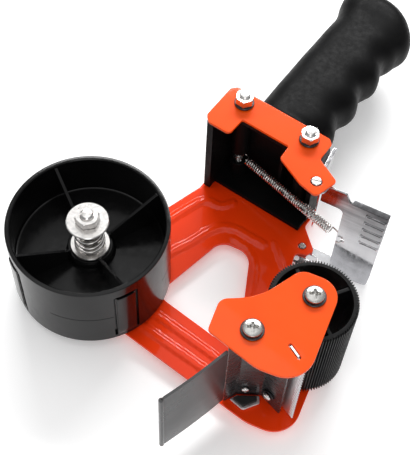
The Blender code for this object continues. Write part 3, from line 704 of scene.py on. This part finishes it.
def make_top_plates():
    outline = rounded([
        (73.0, -33.0, 2.5), (72.0, -17.0, 5.0), (87.0, -9.5, 30.0), (99.0, 10.5, 7.0), (118.4, 10.5, 10.0),
        (119.0, -40.0, 13.0), (98.0, -40.6, 20.0),
    ])
    holes = [circle(ROLLER, SCREW_HOLE_R, 32), circle(POST, SCREW_HOLE_R, 32), blade_slot()]
    cheek = plate(outline, PLATE_LOW, PLATE_TOP, holes, 0.35)
    piece("cutter_cheek", [cheek], "paint", ["front_plate"])
    corners = [
        (-29.2, 4.0, 2.0), (-26.6, 6.8, 2.0), (26.0, 6.8, 2.0), (28.4, 4.4, 2.0), (28.4, -6.0, 2.0),
        (41.4, -12.2, 2.0), (37.6, -24.9, 2.5), (28.0, -23.2, 3.0), (12.9, -16.6, 2.0), (12.5, -8.5, 1.0),
        (-13.6, -8.5, 1.0), (-14.0, -19.2, 2.5), (-26.0, -19.2, 3.0), (-29.2, -16.0, 3.0),
    ]
    outline = rounded([(*foot(u, v), radius) for u, v, radius in corners], 8)
    holes = [circle(foot(side * BOLT_HALF_SPAN, 0), BOLT_R + GAP, 32) for side in (-1, 1)]
    holes.append(circle(FLAP_PIVOT, PIN_HOLE_TOP, 32))
    strap = plate(outline, PLATE_LOW, PLATE_TOP, holes, 0.35)
    piece("handle_strap", [strap], "paint", ["handle_bracket"])


# ---- screws, bolts and nuts


def cross_screw(name, node, centre, low_side):
    """A domed pan screw with a cross recess, outside the sheet, its shank in the post."""
    radius, crown = 4.3, 0.9
    height = FRAME_LOW - GAP - HEADS_LOW if low_side else 2.2
    profile = [*dome(radius, height - crown, crown), (radius, 0.5), (radius - 0.4, 0.0), (0.0, 0.0)]
    face = FRAME_LOW - GAP if low_side else PLATE_TOP + 1.3
    sign = -1.0 if low_side else 1.0
    head = turned([(r, face + sign * z) for r, z in profile], centre, 64)
    tip = face + sign * height
    arms = []
    for k in range(2):
        wide = plate(oblong(2.5, 0.65), -1.6, 1.6, (), 0.12)
        wide.matrix_world = moved(*centre, tip) @ Matrix.Rotation(radians(20 + 90 * k), 4, "Z")
        arms.append(wide)
    well = turned([(0.0, tip - 2.0), (1.1, tip - 2.0), (1.5, tip + 1.0), (0.0, tip + 1.0)], centre, 24)
    if low_side:
        well.data.transform(moved(0, 0, 1.0))
    head = cut(head, [*arms, well])
    ends = (face - 0.3, FRAME_TOP + 7.0) if low_side else (PLATE_LOW - 7.0, face + 0.3)
    shank = threaded(centre, 2.0, *ends, pitch=0.8, depth=0.2, steps=24)
    piece(name, [head, shank], "steel", [node])


def make_fasteners():
    for label, node, centre in (("roller", "axle", ROLLER), ("cutter", "post", POST)):
        cross_screw(f"{label}_screw_upper", f"{node}_screw_top", centre, low_side=False)
        cross_screw(f"{label}_screw_under", f"{node}_screw_low", centre, low_side=True)
        low = PLATE_TOP + GAP
        washer = ring_washer(centre, SCREW_HOLE_R, 5.2, low, low + 0.7, 0.2)
        piece(f"{label}_screw_washer", [washer], "dark", [f"{node}_washer_top"])
    for number, side in ((1, -1), (2, 1)):
        centre = foot(side * BOLT_HALF_SPAN, 0)
        low = PLATE_TOP + GAP
        washer = ring_washer(centre, BOLT_R + GAP, 4.8, low, low + 1.0)
        piece(f"grip_washer_{number}", [washer], "dark", [f"handle_washer_{number}"])
        nut = hex_nut(centre, GRIP_FLATS, low + 1.0 + GAP, GRIP_NUT_TOP, BOLT_R + 0.05, 12.0 * number)
        piece(f"grip_nut_{number}", [nut], "zinc", [f"handle_nut_{number}"], sharp=24.0)
        shells = [hex_head(centre, GRIP_FLATS, HEADS_LOW, FRAME_LOW - GAP),
                  threaded(centre, BOLT_R, FRAME_LOW - 1.0, GRIP_BOLT_TOP)]
        piece(f"grip_bolt_{number}", shells, "zinc", [f"handle_bolt_{number}"], sharp=24.0)


def make_brake():
    shells = [hex_head((0, 0), SPINDLE_FLATS, HEADS_LOW, FRAME_LOW - GAP),
              threaded((0, 0), SPINDLE_R, FRAME_LOW - 1.0, SPINDLE_TOP)]
    piece("drum_spindle", shells, "zinc", ["spindle_bolt"], sharp=24.0)
    low_top = BOSS_TOP + GAP + 1.2
    washer = ring_washer((0, 0), SPINDLE_R + GAP, 9.5, BOSS_TOP + GAP, low_top, 0.35, 96)
    piece("brake_washer_under", [washer], "zinc", ["spindle_washer_low"])
    washer = ring_washer((0, 0), SPINDLE_R + GAP, 10.0, DRAG_LOW, DRAG_TOP, 0.4, 96)
    piece("brake_washer_upper", [washer], "zinc", ["spindle_washer_top"], "drag_washer")
    nut = hex_nut((0, 0), SPINDLE_FLATS, DRAG_TOP + GAP, 58.4, SPINDLE_R + 0.05, 8.0)
    piece("brake_nut_hex", [nut], "zinc", ["spindle_nut"], "brake_nut", sharp=24.0)
    turns, per_turn, thread = 5.5, 40, 0.75
    low, high = low_top + GAP + thread, DRAG_LOW - GAP - thread
    points = []
    count = int(turns * per_turn)
    for i in range(count + 1):
        share = i / count
        # The end coils lie flat, so the pitch is small at both ends.
        climb = share - math.sin(2 * math.pi * share) / (2 * math.pi) * 0.55
        points.append((*polar(6.8 - 1.4 * share, 360.0 * i / per_turn + 40.0), low + (high - low) * climb))
    spring = piece("brake_spring", [tube(points, thread, 12)], "zinc", ["tension_spring"])
    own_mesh(spring)


# ---- drum


def make_drum():
    inner, under, bore = DRUM_R - DRUM_WALL, DRUM_FLOOR - 2.0, SPINDLE_R + 0.4
    profile = [
        (inner + 0.5, DRUM_TOP), (DRUM_R - 0.6, DRUM_TOP), (DRUM_R - 0.15, DRUM_TOP - 0.2),
        (DRUM_R, DRUM_TOP - 0.7), (DRUM_R, DRUM_LOW + 0.5), (DRUM_R - 0.5, DRUM_LOW),
        (inner + 0.4, DRUM_LOW), (inner, DRUM_LOW + 0.4),
        (inner, under - 0.8), (inner - 0.8, under), (7.6, under), (7.0, under - 0.6), (7.0, DRUM_LOW + 0.4),
        (6.6, DRUM_LOW), (bore, DRUM_LOW), (bore, BOSS_TOP), (BOSS_R - 0.7, BOSS_TOP),
        (BOSS_R, BOSS_TOP - 0.7),
        (BOSS_R, DRUM_FLOOR + 0.9), (BOSS_R + 0.9, DRUM_FLOOR), (inner - 1.4, DRUM_FLOOR),
        (inner - 0.4, DRUM_FLOOR + 0.4), (inner, DRUM_FLOOR + 1.4), (inner, DRUM_TOP - 0.5),
    ]
    body = turned(profile, (0, 0), 160)
    # Narrow level slits between the gussets, and the slots that free each sprung finger:
    # first and last angle from the gusset, lower and upper level.
    finger_slots = ((7.6, 9.6, 9.5, 45.0), (-9.6, -7.6, 9.5, 45.0), (-8.6, 8.6, 44.6, 45.6))
    cutters = []
    for middle in GUSSET_ANGLES:
        start, end = middle + 35.0, middle + 83.0
        outer = [polar(DRUM_R + 0.6, start + (end - start) * k / 24) for k in range(25)]
        back = [polar(DRUM_R - 0.7, start + (end - start) * k / 24) for k in range(24, -1, -1)]
        cutters.append(plate(outer + back, 28.2, 28.6, (), 0.0))
        for first, last, z_low, z_high in finger_slots:
            reach = [first + (last - first) * k / 6 for k in range(7)]
            ring = [polar(DRUM_R + 0.6, middle + a) for a in reach]
            ring += [polar(DRUM_R - 1.5, middle + a) for a in reversed(reach)]
            cutters.append(plate(ring, z_low, z_high, (), 0.0))
    shells = [cut(body, cutters)]
    gusset = [
        (BOSS_R - 1.0, under + 0.5), (inner + 0.8, under + 0.5), (inner + 0.8, DRUM_TOP - 1.2),
        (inner - 0.6, DRUM_TOP - 1.2), (BOSS_R - 1.0, BOSS_TOP + 2.2),
    ]
    # The sprung finger is a low pad on the wall, rounded over at its sides, top and bottom.
    pad_sides = ((-7.0, 0.0), (-6.4, 0.75), (-4.0, 1.0), (0.0, 1.0), (4.0, 1.0), (6.4, 0.75), (7.0, 0.0))
    for degrees in GUSSET_ANGLES:
        shells.append(upright(gusset, (0, 0), radians(degrees), 1.6, (), 0.3))
        pad = []
        for z, rise in ((9.5, 0.0), (11.0, 0.5), (14.0, 0.8), (42.6, 0.8), (44.2, 0.7), (44.6, 0.4)):
            ring = []
            for lean, lift in pad_sides:
                ring.append((*polar(DRUM_R - 0.05 + rise * lift, degrees + lean), z))
            for lean in (7.0, 0.0, -7.0):
                ring.append((*polar(DRUM_R - 1.0, degrees + lean), z))
            pad.append(ring)
        shells.append(shell_from_rings(pad))
    piece("tape_core_drum", shells, "gloss", ["core_drum"], "drum", sharp=30.0)


# ---- roller


def make_roller():
    teeth, tip, root = 96, ROLLER_R, ROLLER_R - 1.0
    outline, step = [], 360.0 / teeth
    for i in range(teeth):
        for share, radius in ((0.0, root), (0.22, root), (0.38, tip), (0.62, tip), (0.78, root)):
            outline.append(polar(radius, (i + share) * step, ROLLER))
    rim = plate(outline, ROLLER_LOW, ROLLER_TOP, [circle(ROLLER, 17.4, 120)], 0.12)
    hub = ring_washer(ROLLER, 3.4, 5.6, ROLLER_LOW, ROLLER_TOP, 0.3, 64)
    shells = [rim, hub]
    spoke = [(4.6, ROLLER_LOW + 0.6), (18.0, ROLLER_LOW + 0.6), (18.0, ROLLER_TOP - 0.8),
             (4.6, ROLLER_TOP - 0.8)]
    for degrees in (45.0, 135.0, 225.0, 315.0):
        shells.append(upright(spoke, ROLLER, radians(degrees), 1.8, (), 0.3))
    piece("toothed_roller", shells, "moulding", ["roller"], "roller", sharp=28.0)
    for name, node, centre, radius in (("roller_shaft", "roller_axle", ROLLER, 3.0),
                                       ("cutter_post", "spacer_post", POST, 2.9)):
        post = turned([(2.3, INNER_LOW), (radius - 0.3, INNER_LOW), (radius, INNER_LOW + 0.3),
                       (radius, INNER_TOP - 0.3), (radius - 0.3, INNER_TOP), (2.3, INNER_TOP)], centre, 48)
        piece(name, [post], "zinc", [node])


# ---- cutter head and wiper


def make_blade():
    teeth, depth = 22, 3.0
    pitch = (INNER_TOP - INNER_LOW) / teeth
    outline = [(0.0, INNER_TOP), (0.0, INNER_LOW)]
    for i in range(teeth):
        outline.append((BLADE_WIDTH - depth, INNER_LOW + i * pitch))
        outline.append((BLADE_WIDTH, INNER_LOW + (i + 0.5) * pitch))
    outline.append((BLADE_WIDTH - depth, INNER_TOP))
    outline += [(8.0, INNER_TOP), (8.0, PLATE_TOP), (2.4, PLATE_TOP), (2.4, INNER_TOP)]
    strip = upright(outline, BLADE_START, BLADE_TURN, 0.8, (), 0.0)
    piece("saw_blade", [strip], "blade", ["blade"], sharp=20.0)


def bent_strip(path, width, low, high, radius=1.6, bevel=0.25):
    """A folded sheet standing on edge, with rounded folds."""
    corners = [(*p, 0.0 if i in (0, len(path) - 1) else radius) for i, p in enumerate(path)]
    middle = []
    for i, (x, y, r) in enumerate(corners):
        if r <= 0:
            middle.append((x, y))
            continue
        middle += rounded([corners[i - 1][:2] + (0,), (x, y, r), corners[i + 1][:2] + (0,)], 8)[1:-1]
    return plate(ribbon(middle, width), low, high, (), bevel)


def clamp_place(along, segment):
    """A point on a segment of the holder's path, and the direction off its face there."""
    start, end = Vector(HOLDER_PATH[segment]), Vector(HOLDER_PATH[segment + 1])
    direction = (end - start).normalized()
    return start.lerp(end, along), Vector((direction.y, -direction.x))


def lean_to(point, outward, level, off_face):
    """The place of a part that stands off the holder's face with its own Z pointing outward."""
    lean = Vector((outward.x, outward.y, 0.0)).to_track_quat("Z", "Y").to_matrix().to_4x4()
    return moved(*(point + outward * off_face), level) @ lean


def make_cutter_head():
    holder = bent_strip(HOLDER_PATH, 1.2, INNER_LOW, INNER_TOP)
    piece("blade_carrier", [holder], "sheet", ["blade_holder"])
    foot_outline = rounded([
        (86.9, -35.0, 0.5), (94.5, -37.6, 2.0), (100.6, -31.4, 1.0), (99.0, -28.0, 0.5), (89.4, -31.9, 0.5),
    ], 8)
    step = plate(foot_outline, INNER_LOW, INNER_LOW + 1.2, (), 0.3)
    piece("carrier_foot", [step], "blade", ["clamp_foot"])
    pad_outline = rounded([
        (88.3, -34.8, 0.5), (94.2, -36.4, 1.4), (99.1, -31.3, 0.8), (98.2, -29.3, 0.5), (90.0, -32.6, 0.5),
    ], 8)
    pad = plate(pad_outline, INNER_LOW + 1.5, INNER_LOW + 3.1, (), 0.4)
    piece("carrier_pad", [pad], "rubber", ["clamp_pad"])
    for name, node, along, segment, level, radius, off in (
        ("carrier_screw_small", "clamp_screw_1", 0.32, 1, 13.5, 1.9, 0.9),
        ("carrier_screw_large", "clamp_screw_2", 0.40, 2, 15.5, 2.3, 1.9),
    ):
        profile = [*dome(radius, 0.5, 1.1), (radius, 0.2), (radius - 0.2, 0.0), (0.0, 0.0)]
        head = turned(profile, (0, 0), 40)
        slots = [plate(oblong(1.2, 0.25), 0.9, 2.2, (), 0.0) for _ in range(2)]
        slots[1].rotation_euler.z = radians(90)
        bpy.context.view_layer.update()
        head = cut(head, slots)
        head.matrix_world = lean_to(*clamp_place(along, segment), level, off)
        piece(name, [head], "zinc", [node])
    washer = ring_washer((0, 0), 1.2, 3.2, 0.0, 0.7, 0.2, 48)
    washer.matrix_world = lean_to(*clamp_place(0.40, 2), 15.5, 0.9)
    piece("carrier_washer", [washer], "dark", ["clamp_washer"])


def make_wiper():
    low, high, steps = WIPER_LOW, WIPER_TOP, 40
    levels = (low, low + 0.3, (low + high) / 2, high - 0.3, high)
    turn = Matrix.Rotation(WIPER_TURN, 2)
    rings = []
    for k in range(steps + 1):
        along = WIPER_LENGTH * k / steps
        share = along / WIPER_LENGTH
        half = 0.6 if k < steps - 1 else 0.45
        bow = 0.5 * math.sin(math.pi * share)
        ring = []
        for side, z in ((-half, low), *((half, z) for z in levels), *((-half, z) for z in levels[:0:-1])):
            ring.append((*(WIPER_ROOT + turn @ Vector((along, side + bow - 0.25 * share))), z))
        rings.append(ring)
    sheet = shell_from_rings(rings)
    tip = WIPER_ROOT + turn @ Vector((WIPER_LENGTH, -0.2))
    profile = [(0.0, low), (0.8, low), (1.1, low + 0.4), (1.1, high - 0.4), (0.8, high), (0.0, high)]
    bead = turned(profile, tip, 24)
    piece("tape_wiper", [sheet, bead], "wiper", ["wiper"], "wiper_blade", sharp=40.0)


# ---- handle


def grip_profile():
    """Sections (v, left, right, half height, squareness) from the foot's back wall to the grip's end."""
    keys = [(4.5, -28.2, 27.4, 27.4, 12.0), (7.0, -28.2, 27.4, 27.4, 12.0), (9.0, -27.0, 25.6, 25.2, 8.0),
            (11.5, -24.6, 22.4, 21.4, 5.0), (14.5, -22.4, 19.4, 17.2, 3.4)]
    for k in range(17):
        v = 18.0 + 4.8 * k
        wave = math.cos(2 * math.pi * (v - 27.1) / 22.4)
        keys.append((v, -21.4 - 0.4 * math.sin(math.pi * k / 16), 17.6 + 1.8 * wave, 15.0, 2.6))
    keys += [
        (100.5, -22.6, 21.2, 15.6, 2.6), (106.0, -24.6, 20.2, 16.4, 2.6), (112.0, -25.6, 15.6, 16.6, 2.6),
        (116.0, -24.6, 11.0, 14.8, 2.5), (118.2, -22.0, 7.6, 12.0, 2.4), (119.2, -18.0, 4.0, 8.5, 2.3),
    ]
    return [keys[0], *smooth_path(keys[1:], 4)]


def make_handle():
    rings = []
    count = 72
    for v, left, right, half, square in grip_profile():
        ring = []
        for i in range(count):
            angle = 2 * math.pi * (i + 0.5) / count
            cos, sin = math.cos(angle), math.sin(angle)
            across = math.copysign(abs(cos) ** (2 / square), cos)
            up = math.copysign(abs(sin) ** (2 / square), sin)
            u = (left + right) / 2 + across * (right - left) / 2
            ring.append((*foot(u, v), GRIP_MIDDLE_Z + up * half))
        rings.append(ring)
    grip = shell_from_rings(rings)
    low, high, wall = INNER_LOW, INNER_TOP, 2.6

    def foot_block(u_range, v_range, z_low, z_high, bevel=0.4):
        middle = foot(sum(u_range) / 2, sum(v_range) / 2)
        size = (u_range[1] - u_range[0], v_range[1] - v_range[0], z_high - z_low)
        return block((*middle, (z_low + z_high) / 2), size, FOOT_TURN, bevel)

    shells = [
        grip,
        foot_block((-27.6, 26.9), (-11.8, 5.4), low, low + wall),
        foot_block((-27.4, 26.7), (-8.0, 5.7), high - wall, high),
        foot_block((-28.1, -24.6), (-17.0, 5.9), low + 0.1, high - 0.1, 0.6),
        foot_block((24.8, 27.3), (-5.2, 6.2), low + 0.15, high - 0.15, 0.6),
        foot_block((6.0, 7.8), (-1.6, 6.0), low + 1.0, high - 1.0),
    ]
    first, second = foot(-BOLT_HALF_SPAN, 0), foot(BOLT_HALF_SPAN, 0)
    for centre, radius, z_low, z_high in (
        (first, 4.4, 26.6, high - 1.4), (first, 4.4, low + 1.2, 19.0), (second, 3.9, low + 1.3, high - 1.3),
    ):
        shells.append(ring_washer(centre, BOLT_R + GAP, radius, z_low, z_high, 0.3, 48))
    piece("grip_handle", shells, "matt", ["handle"], sharp=38.0)


# ---- tape flap and its spring


def make_flap():
    low, arm_low, arm_high, top = FRAME_LOW - GAP - 1.2, 47.5, 60.8, 55.5
    step_at, cut_at, arm_start = 19.2, 18.6, 6.6
    outline = rounded([
        (arm_start, arm_low, 0.5), (cut_at, arm_low, 3.0), (cut_at, low, 0.0), (FLAP_LENGTH, low, 0.5),
        (FLAP_LENGTH, top, 2.0), (step_at + 1.5, top, 1.5), (step_at - 0.8, arm_high, 1.5),
        (arm_start, arm_high, 0.5),
    ], 6)
    hole = circle((SPRING_HOLE_ALONG, SPRING_LEVEL), 1.3, 24)
    sheet = upright(outline, FLAP_START, FLAP_TURN, FLAP_T, [hole], 0.2)
    flange = rounded([
        (*along_flap(-1.8, 0.5), 1.0), (*along_flap(FLAP_LENGTH, 0.5), 0.0),
        (*along_flap(FLAP_LENGTH, -7.0), 1.0), (*along_flap(22.0, -9.0), 6.0),
        (*along_flap(4.5, -12.0), 3.0), (*along_flap(-1.8, -10.5), 3.0),
    ], 8)
    oval = [(7.4, -7.2), (12.8, -7.2), (12.8, -4.0), (7.4, -4.0)]
    flange_holes = [
        circle(FLAP_PIVOT, PIN_HOLE_LOW, 32), circle(along_flap(3.4, -8.8), 1.3, 32),
        rounded([(*along_flap(a, b), 1.5) for a, b in oval], 8),
    ]
    lug = rounded([
        (*along_flap(2.4, 20.8), 0.4), (*along_flap(3.9, 20.8), 0.4), (*along_flap(4.6, 6.0), 2.0),
        (*along_flap(10.0, 0.6), 1.0), (*along_flap(8.6, -6.0), 3.0), (*along_flap(-1.8, -6.0), 3.0),
        (*along_flap(-1.8, 3.0), 2.0), (*along_flap(2.4, 5.0), 1.0),
    ], 6)
    leg = [(9.4, 60.9), (20.6, 60.9), (13.4, 10.0), (9.4, 6.8)]
    shells = [
        sheet,
        plate(flange, low, low + 1.2, flange_holes, 0.2),
        plate(lug, arm_high - 0.3, INNER_TOP, [circle(FLAP_PIVOT, PIN_HOLE_TOP, 32)], 0.2),
        upright(leg, along_flap(3.2), FLAP_TURN + radians(90), FLAP_T, (), 0.2),
    ]
    hem_middle = along_flap((step_at + FLAP_LENGTH) / 2 + 1.2, 1.0)
    shells.append(block((*hem_middle, top - 0.5), (FLAP_LENGTH - step_at - 2.6, 3.0, 1.0), FLAP_TURN, 0.3))
    # Pressed ridges across the free end.
    for k in range(5):
        ridge = []
        for share in np.linspace(0.0, 1.0, 16):
            sunk = 0.75 if share in (0.0, 1.0) else 0.35 + 0.25 * abs(2 * share - 1) ** 4
            at = along_flap(FLAP_LENGTH - 10.8 + 10.2 * share, -sunk)
            ridge.append((*at, top - 4.5 - 5.8 * k))
        shells.append(tube(ridge, 0.75, 12))
    piece("spring_flap", shells, "chrome", ["tape_flap"], "flap", sharp=30.0)


def make_flap_pins():
    upper = [
        (0.0, PLATE_TOP + 0.5), (2.2, PLATE_TOP + 0.5), (2.5, PLATE_TOP + 0.2), (2.5, 60.2), (3.1, 60.2),
        (3.1, 58.6), (2.9, 58.4), (0.0, 58.4),
    ]
    pin = turned(upper, FLAP_PIVOT, 48)
    slit = plate(oblong(3.0, 0.35), -0.5, 0.5, (), 0.0)
    slit.matrix_world = moved(*FLAP_PIVOT, PLATE_TOP + 0.5) @ Matrix.Rotation(radians(8), 4, "Z")
    piece("flap_pivot_upper", [cut(pin, [slit])], "zinc", ["flap_pin_top"])
    head_top = FRAME_LOW - GAP - 1.2 - GAP
    lower = [
        (0.0, FRAME_TOP + 0.5), (1.5, FRAME_TOP + 0.5), (1.8, FRAME_TOP + 0.2), (1.8, head_top),
        (3.4, head_top), (3.4, HEADS_LOW + 0.7), (3.1, HEADS_LOW + 0.4), (0.0, HEADS_LOW + 0.4),
    ]
    pin = turned(lower, FLAP_PIVOT, 48)
    piece("flap_pivot_under", [pin], "zinc", ["flap_pin_low"])


def make_flap_spring():
    """Close-wound wire, hooked round the first handle bolt and through the flap's hole."""
    thread, coil_r = 0.43, 2.15
    start = Vector((*foot(-BOLT_HALF_SPAN, 0), SPRING_LEVEL))
    end = Vector((*along_flap(SPRING_HOLE_ALONG), SPRING_LEVEL))
    along = (end - start).normalized()
    side = Vector((-along.y, along.x, 0.0))
    up = Vector((0.0, 0.0, 1.0))
    hook_r = BOLT_R + thread + GAP
    points = [start + side * hook_r * math.sin(a) - along * hook_r * math.cos(a)
              for a in (radians(-150 + 11 * k) for k in range(27))]
    body_start, body_end = start + along * 6.0, end - along * 8.0
    turns, per_turn = 44, 18
    for i in range(turns * per_turn + 1):
        angle = 2 * math.pi * i / per_turn
        middle = body_start.lerp(body_end, i / (turns * per_turn))
        points.append(middle + (side * math.cos(angle) + up * math.sin(angle)) * coil_r)
    hook = [(-2.6, 2.9), (-0.7, 2.3), (0.0, 1.3), (0.0, -1.2), (-0.8, -2.2), (-2.6, -2.3)]
    tail = [tuple(Vector((*along_flap(SPRING_HOLE_ALONG + a, b), SPRING_LEVEL))) for a, b in hook]
    points += [Vector(p) for p in smooth_path([tuple(points[-1]), *tail], 6)[1:]]
    wire = tube(points, thread, 8)
    spring = piece("flap_return_spring", [wire], "zinc", ["extension_spring"], None)
    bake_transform(spring)


make_frame()
make_top_plates()
make_fasteners()
make_brake()
make_drum()
make_roller()
make_blade()
make_cutter_head()
make_wiper()
make_handle()
make_flap()
make_flap_pins()
make_flap_spring()


# ---- floor, light and camera


def make_floor():
    shape = bmesh.new()
    bmesh.ops.create_grid(shape, x_segments=24, y_segments=24, size=3.0)
    floor = object_from(shape, "floor")
    look = Look("floor_paper", (0.95, 0.95, 0.95), 0.85, Emission_Strength=0.22)
    look.shader.inputs["Emission Color"].default_value = (1.0, 1.0, 1.0, 1.0)
    look.gloss(0.8, 0.9, 0.7, 40.0)
    floor.data.materials.append(look.material)
    floor.location.z = -0.0002


def make_world():
    world = bpy.data.worlds.new("studio")
    bpy.context.scene.world = world
    world.use_nodes = True
    nodes, links = world.node_tree.nodes, world.node_tree.links
    coords = nodes.new("ShaderNodeTexCoord")
    parts = nodes.new("ShaderNodeSeparateXYZ")
    ramp = nodes.new("ShaderNodeValToRGB")
    links.new(coords.outputs["Generated"], parts.inputs["Vector"])
    links.new(parts.outputs["Z"], ramp.inputs["Fac"])
    stops = ramp.color_ramp.elements
    stops[0].color, stops[1].color = (0.55, 0.55, 0.56, 1.0), (1.0, 1.0, 1.0, 1.0)
    stops.new(0.35).color = (0.35, 0.35, 0.36, 1.0)
    stops.new(0.75).color = (0.9, 0.9, 0.9, 1.0)
    links.new(ramp.outputs["Color"], nodes["Background"].inputs["Color"])
    nodes["Background"].inputs["Strength"].default_value = 0.75


def soft_light(name, at, target, size, power):
    light = bpy.data.lights.new(name, "AREA")
    light.shape = "RECTANGLE"
    light.size, light.size_y = size
    light.energy = power
    obj = new_object(name, light)
    obj.location = at
    obj.rotation_mode = "QUATERNION"
    obj.rotation_quaternion = (Vector(target) - Vector(at)).to_track_quat("-Z", "Y")


def make_camera():
    at = (0.1347, -0.2098, 0.4460)
    elevation, roll, azimuth = radians(58.16), radians(3.35), radians(20.3)
    camera = bpy.data.cameras.new("camera")
    camera.sensor_width = 36.0
    camera.lens = 80.28
    obj = new_object("camera", camera)
    turn = (Matrix.Rotation(azimuth, 4, "Z") @ Matrix.Rotation(math.pi / 2 - elevation, 4, "X")
            @ Matrix.Rotation(roll, 4, "Z"))
    obj.matrix_world = Matrix.Translation(at) @ turn
    bpy.context.scene.camera = obj


make_floor()
make_world()
TARGET = (0.06, 0.04, 0.03)
soft_light("back_softbox", (-0.20, 1.0, 0.92), TARGET, (1.1, 0.34), 18.0)
soft_light("top_softbox", (-0.1, 0.1, 1.3), TARGET, (0.9, 0.9), 2.0)
soft_light("front_softbox", (0.5, -1.0, 0.7), TARGET, (0.6, 0.8), 2.4)
make_camera()
bpy.context.scene.view_settings.view_transform = "Standard"
